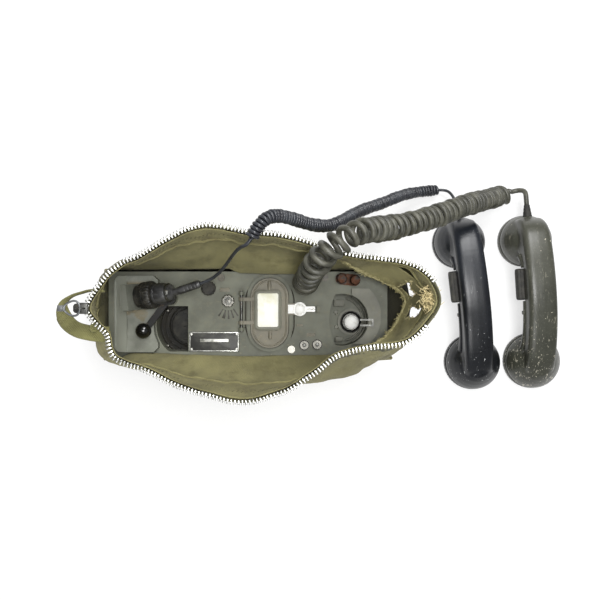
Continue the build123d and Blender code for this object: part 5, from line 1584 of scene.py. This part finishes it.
class FIELDSET_OT_controls(bpy.types.Operator):
    """Builds the selector, volume knob, crank, line posts, terminals and gland"""
    bl_idname = "fieldset.controls"
    bl_label = "Controls"

    def execute(self, context):
        dress("crank_arm", "arm")
        dress("crank_knob", "gloss")
        dress("line_post_bases", "copper")
        self.selector()
        self.volume()
        self.posts()
        self.terminals()
        gland = Build().lathe(GLAND, (64, 34.6, 0), sides=56)
        gland.piece("cord_gland_ribbed", "rubber", "root", "rubber", "cord_gland")
        return {"FINISHED"}

    def selector(self):
        """The selector's notched nut and its slotted disc."""
        x, y = SELECTOR_AT

        def notch(i, radius, height):
            return 0.86 if i % 8 in (0, 1) and radius > 6 and height > 116.2 else 1

        nut = [(7.2, PANEL), (7.2, 117), (6.5, 118.2), (5.6, 118.5), (4.6, 118.4), (4.5, 115.2)]
        Build().lathe(nut, (x, y, 0), sides=64, wobble=notch).piece(
            "selector_ring_nut", "nickel", "root", "nickel", "selector_nut")
        dress("selector_dial", "dark_steel")
        disc = Build()
        for sign in (-1, 1):
            angles = [math.radians(-78 + 156 * k / 19) for k in range(20)]
            outline = [(x + sign * max(0.75, 3.3 * math.cos(a)), y + 3.3 * math.sin(a)) for a in angles]
            disc.slab(outline, 118.6, 119.5, 0.2)
        disc.piece("selector_slotted_disc", "nickel", "selector", "nickel")

    def volume(self):
        """The volume knob with its flutes and pointer, on its shaft."""
        x, y = VOLUME_AT

        def flute(i, radius, height):
            return 1 - 0.03 * (1 + math.cos(i * 2 * math.pi / 6)) * (radius > 7)

        knob = Build()
        knob.lathe([(3, 116), (7.9, 115.4), (8.25, 116), (8.25, 119.4), (7.7, 120.4), (6.6, 120.8),
                    (6.2, 120.4), (0.1, 120.5)], (x, y, 0), sides=84, wobble=flute)
        knob.rod([(x, y + 1, 120.5), (x, y + 3.4, 120.6), (x, y + 5.4, 120.5)], 0.7, 6, 0.6)
        knob.piece("volume_knob_fluted", "rubber", "volume", "rubber", "volume_knob")
        shaft = Build().lathe([(3, 95), (3, 115.8), (0.1, 116)], (x, y, 0), sides=24)
        shaft.piece("volume_shaft", "dark_steel", "volume", "dark_steel")

    def posts(self):
        """The knurled caps of the two line posts."""
        for k, (x, y) in enumerate(((104.4, 40), (119, 38.2)), 1):
            low, high = [corner.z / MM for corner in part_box(f"line_post_cap_{k}")]
            profile = [(2.6, low), (5.1, low), (5.5, low + 0.5), (5.5, high - 1.4), (4.9, high - 0.5),
                       (3.4, high - 0.1), (0.1, high)]
            Build().lathe(profile, (x, y, 0), sides=72, wobble=knurl(0.02, 5, 133)).piece(
                f"line_post_knurled_{k}", "copper", f"post_cap_{k}", "copper", f"line_post_cap_{k}")

    def terminals(self):
        """Dark collars and bright studs on the two small terminals."""
        dress("small_terminals", "nickel")
        dark, bright = Build(), Build()
        for x, y in ((63, -34.2), (77.4, -33.6)):
            dark.lathe([(5.65, 115.2), (5.65, 116.9), (4.75, 117), (4.75, 115.4)], (x, y, 0), sides=40)
            bright.lathe([(2.1, 115.9), (2.1, 117.4), (1.5, 117.9), (0.1, 118)], (x, y, 0), sides=24)
        dark.piece("terminal_collars", "rubber", "root", "rubber")
        bright.piece("terminal_studs", "dark_steel", "root", "dark_steel")


# ---- battery lid --------------------------------------------------------------------
LID_AT = (24.4, 1.6)
WINDOW_AT = (22.6, 4.9)
LATCH_AT = (57.9, 6.1)


class FIELDSET_OT_battery(bpy.types.Operator):
    """Finishes the battery lid, window and latch, and adds ribs and beads"""
    bl_idname = "fieldset.battery"
    bl_label = "Battery lid"

    def execute(self, context):
        dress("battery_lid", "lid")
        dress("lid_hinge_pin", "dark_steel")
        dress("latch_lever", "white")
        ribs = Build()
        for x, y0, y1 in ((24.2, 27.6, 36.8), (25, -26.8, -18.4)):
            ribs.rod([(x, y0, 121.2), (x, (y0 + y1) / 2, 121.8), (x, y1, 120.9)], [2.1, 2.5, 1.9], 12, 0.8)
        ribs.loop(oblong(*LID_AT, 120.7, 18.2, 17.8, 64), 1)
        ribs.piece("lid_ribs", "lid", "lid", "panel_paint")
        # Painted shade: two dark rings on the panel round the lid stand for the shade in the gap round it.
        groove = Build()
        for radius, straight in ((21.8, 17.2), (27.2, 12.6)):
            groove.loop(oblong(*LID_AT, 115.2, radius, straight, 72), 0.75)
        groove.piece("lid_outline", "well", "root", "panel_paint")
        outer, middle, inner = [rounded(*WINDOW_AT, wide, deep, radius, 7) for wide, deep, radius in (
            (30.4, 45, 5.4), (27, 41.4, 4), (23.6, 38, 2.6))]
        rings = [[(*p, z) for p in outline] for outline, z in (
            (outer, 121.2), (outer, 122.6), (middle, 123.6), (inner, 123.2), (inner, 121.4))]
        Build().rings(rings, caps=False).piece("lid_window_frame", "ridge", "lid", "panel_paint")
        low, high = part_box("lid_window")
        pane = Build().slab(rounded(*WINDOW_AT, 23.3, 37.7, 2.4, 7), low.z / MM, high.z / MM)
        pane.piece("lid_window_pane", "window", "lid", "window_cream", "lid_window")
        self.latch()
        return {"FINISHED"}

    def latch(self):
        """The turn latch's raised disc, groove and grip rib."""
        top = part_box("latch_lever")[1].z / MM
        x, y = LATCH_AT
        disc = [(7.6, -0.4), (7.5, 0.2), (6.9, 0.5), (6.2, 0.45), (5.9, 0.15), (5.6, 0.5), (4, 1.1),
                (0.1, 1.25)]
        build = Build().lathe([(radius, top + rise) for radius, rise in disc], (x, y, 0), sides=56)
        build.rod([(x + 7.6, y, top), (x + 12, y, top + 0.25), (x + 16.4, y, top)], 1.3, 8, 0.5)
        build.slab(rounded(x - 9.9, y, 5.8, 9, 0.8, 4), top - 0.5, top + 0.35, 0.3)
        build.piece("latch_disc", "white", "latch", "white_metal")


# ---- inside the case ----------------------------------------------------------------
class FIELDSET_OT_insides(bpy.types.Operator):
    """Finishes the generator, board, battery well and buzzer inside the case"""
    bl_idname = "fieldset.insides"
    bl_label = "Insides"

    def execute(self, context):
        for nodes, name in (("generator_frame", "zinc"), ("drive_gear", "brass"), ("armature", "dark_steel"),
                            ("circuit_board", "board"), ("buzzer", "gloss"), ("battery_well", "well"),
                            ("battery_cells", "zinc"), ("battery_contact", "brass")):
            dress(nodes, name)
        return {"FINISHED"}


# ---- stage --------------------------------------------------------------------------
WHITE = (1, 1, 1, 1)
LAMPS = (("top_light", (0.2, 0.06, 1.5), 0.45, 13), ("back_light", (0.34, 0.8, 1), 0.5, 10.5),
         ("front_light", (0.1, -0.9, 1.3), 0.7, 8))


class FIELDSET_OT_stage(bpy.types.Operator):
    """Builds the pale floor, the soft light and the camera straight above"""
    bl_idname = "fieldset.stage"
    bl_label = "Stage"

    def execute(self, context):
        scene = context.scene
        scene.view_settings.view_transform = "Standard"
        corners = [(-4000, -4000, -0.4), (4000, -4000, -0.4), (4000, 4000, -0.4), (-4000, 4000, -0.4)]
        make("floor", corners, [(0, 1, 2, 3)], "floor")
        self.world(scene)
        for name, place, size, power in LAMPS:
            data = bpy.data.lights.new(name, "AREA")
            data.size, data.energy = size, power
            lamp = bpy.data.objects.new(name, data)
            scene.collection.objects.link(lamp)
            lamp.location = place
            lamp.rotation_mode = "QUATERNION"
            lamp.rotation_quaternion = (Vector((0.1, 0, 0.05)) - Vector(place)).to_track_quat("-Z", "Y")
        data = bpy.data.cameras.new("camera")
        data.sensor_width, data.lens = 36, 47.44
        data.clip_start, data.clip_end = 0.01, 20
        camera = bpy.data.objects.new("camera", data)
        scene.collection.objects.link(camera)
        camera.location = Vector(EYE) * MM
        scene.camera = camera
        return {"FINISHED"}

    def world(self, scene):
        """Dim light from all round, and a white backdrop for the camera alone."""
        world = bpy.data.worlds.new("studio")
        scene.world = world
        world.use_nodes = True
        nodes, links = world.node_tree.nodes, world.node_tree.links
        light, backdrop = nodes["Background"], nodes.new("ShaderNodeBackground")
        for node, strength in ((light, 0.3), (backdrop, 1)):
            node.inputs["Color"].default_value = WHITE
            node.inputs["Strength"].default_value = strength
        rays, both = nodes.new("ShaderNodeLightPath"), nodes.new("ShaderNodeMixShader")
        links.new(rays.outputs["Is Camera Ray"], both.inputs[0])
        links.new(light.outputs[0], both.inputs[1])
        links.new(backdrop.outputs[0], both.inputs[2])
        links.new(both.outputs[0], nodes["World Output"].inputs["Surface"])


# ---- sidebar and order --------------------------------------------------------------
OPERATORS = (FIELDSET_OT_stage, FIELDSET_OT_cords, FIELDSET_OT_bag, FIELDSET_OT_zipper, FIELDSET_OT_loop,
             FIELDSET_OT_handsets, FIELDSET_OT_plug, FIELDSET_OT_panel, FIELDSET_OT_controls,
             FIELDSET_OT_battery, FIELDSET_OT_insides)


class FIELDSET_PT_sidebar(bpy.types.Panel):
    """Sizes, colours and one button for each group of pieces"""
    bl_idname = "FIELDSET_PT_sidebar"
    bl_label = "Field telephone set"
    bl_space_type = "VIEW_3D"
    bl_region_type = "UI"
    bl_category = "Field set"

    def draw(self, context):
        layout = self.layout
        for settings in (sizes(), colours()):
            column = layout.column()
            for name in settings.__annotations__:
                column.prop(settings, name)
        for operator in OPERATORS:
            layout.operator(operator.bl_idname)


CLASSES = (FieldSetSizes, FieldSetColours, *OPERATORS, FIELDSET_PT_sidebar)


def register():
    for cls in CLASSES:
        bpy.utils.register_class(cls)
    bpy.types.Scene.field_set_sizes = bpy.props.PointerProperty(type=FieldSetSizes)
    bpy.types.Scene.field_set_colours = bpy.props.PointerProperty(type=FieldSetColours)


def unregister():
    del bpy.types.Scene.field_set_colours
    del bpy.types.Scene.field_set_sizes
    for cls in reversed(CLASSES):
        bpy.utils.unregister_class(cls)


def main():
    """Builds the whole set."""
    register()
    for operator in OPERATORS:
        group, name = operator.bl_idname.split(".")
        getattr(getattr(bpy.ops, group), name)()


if __name__ == "__main__":
    main()
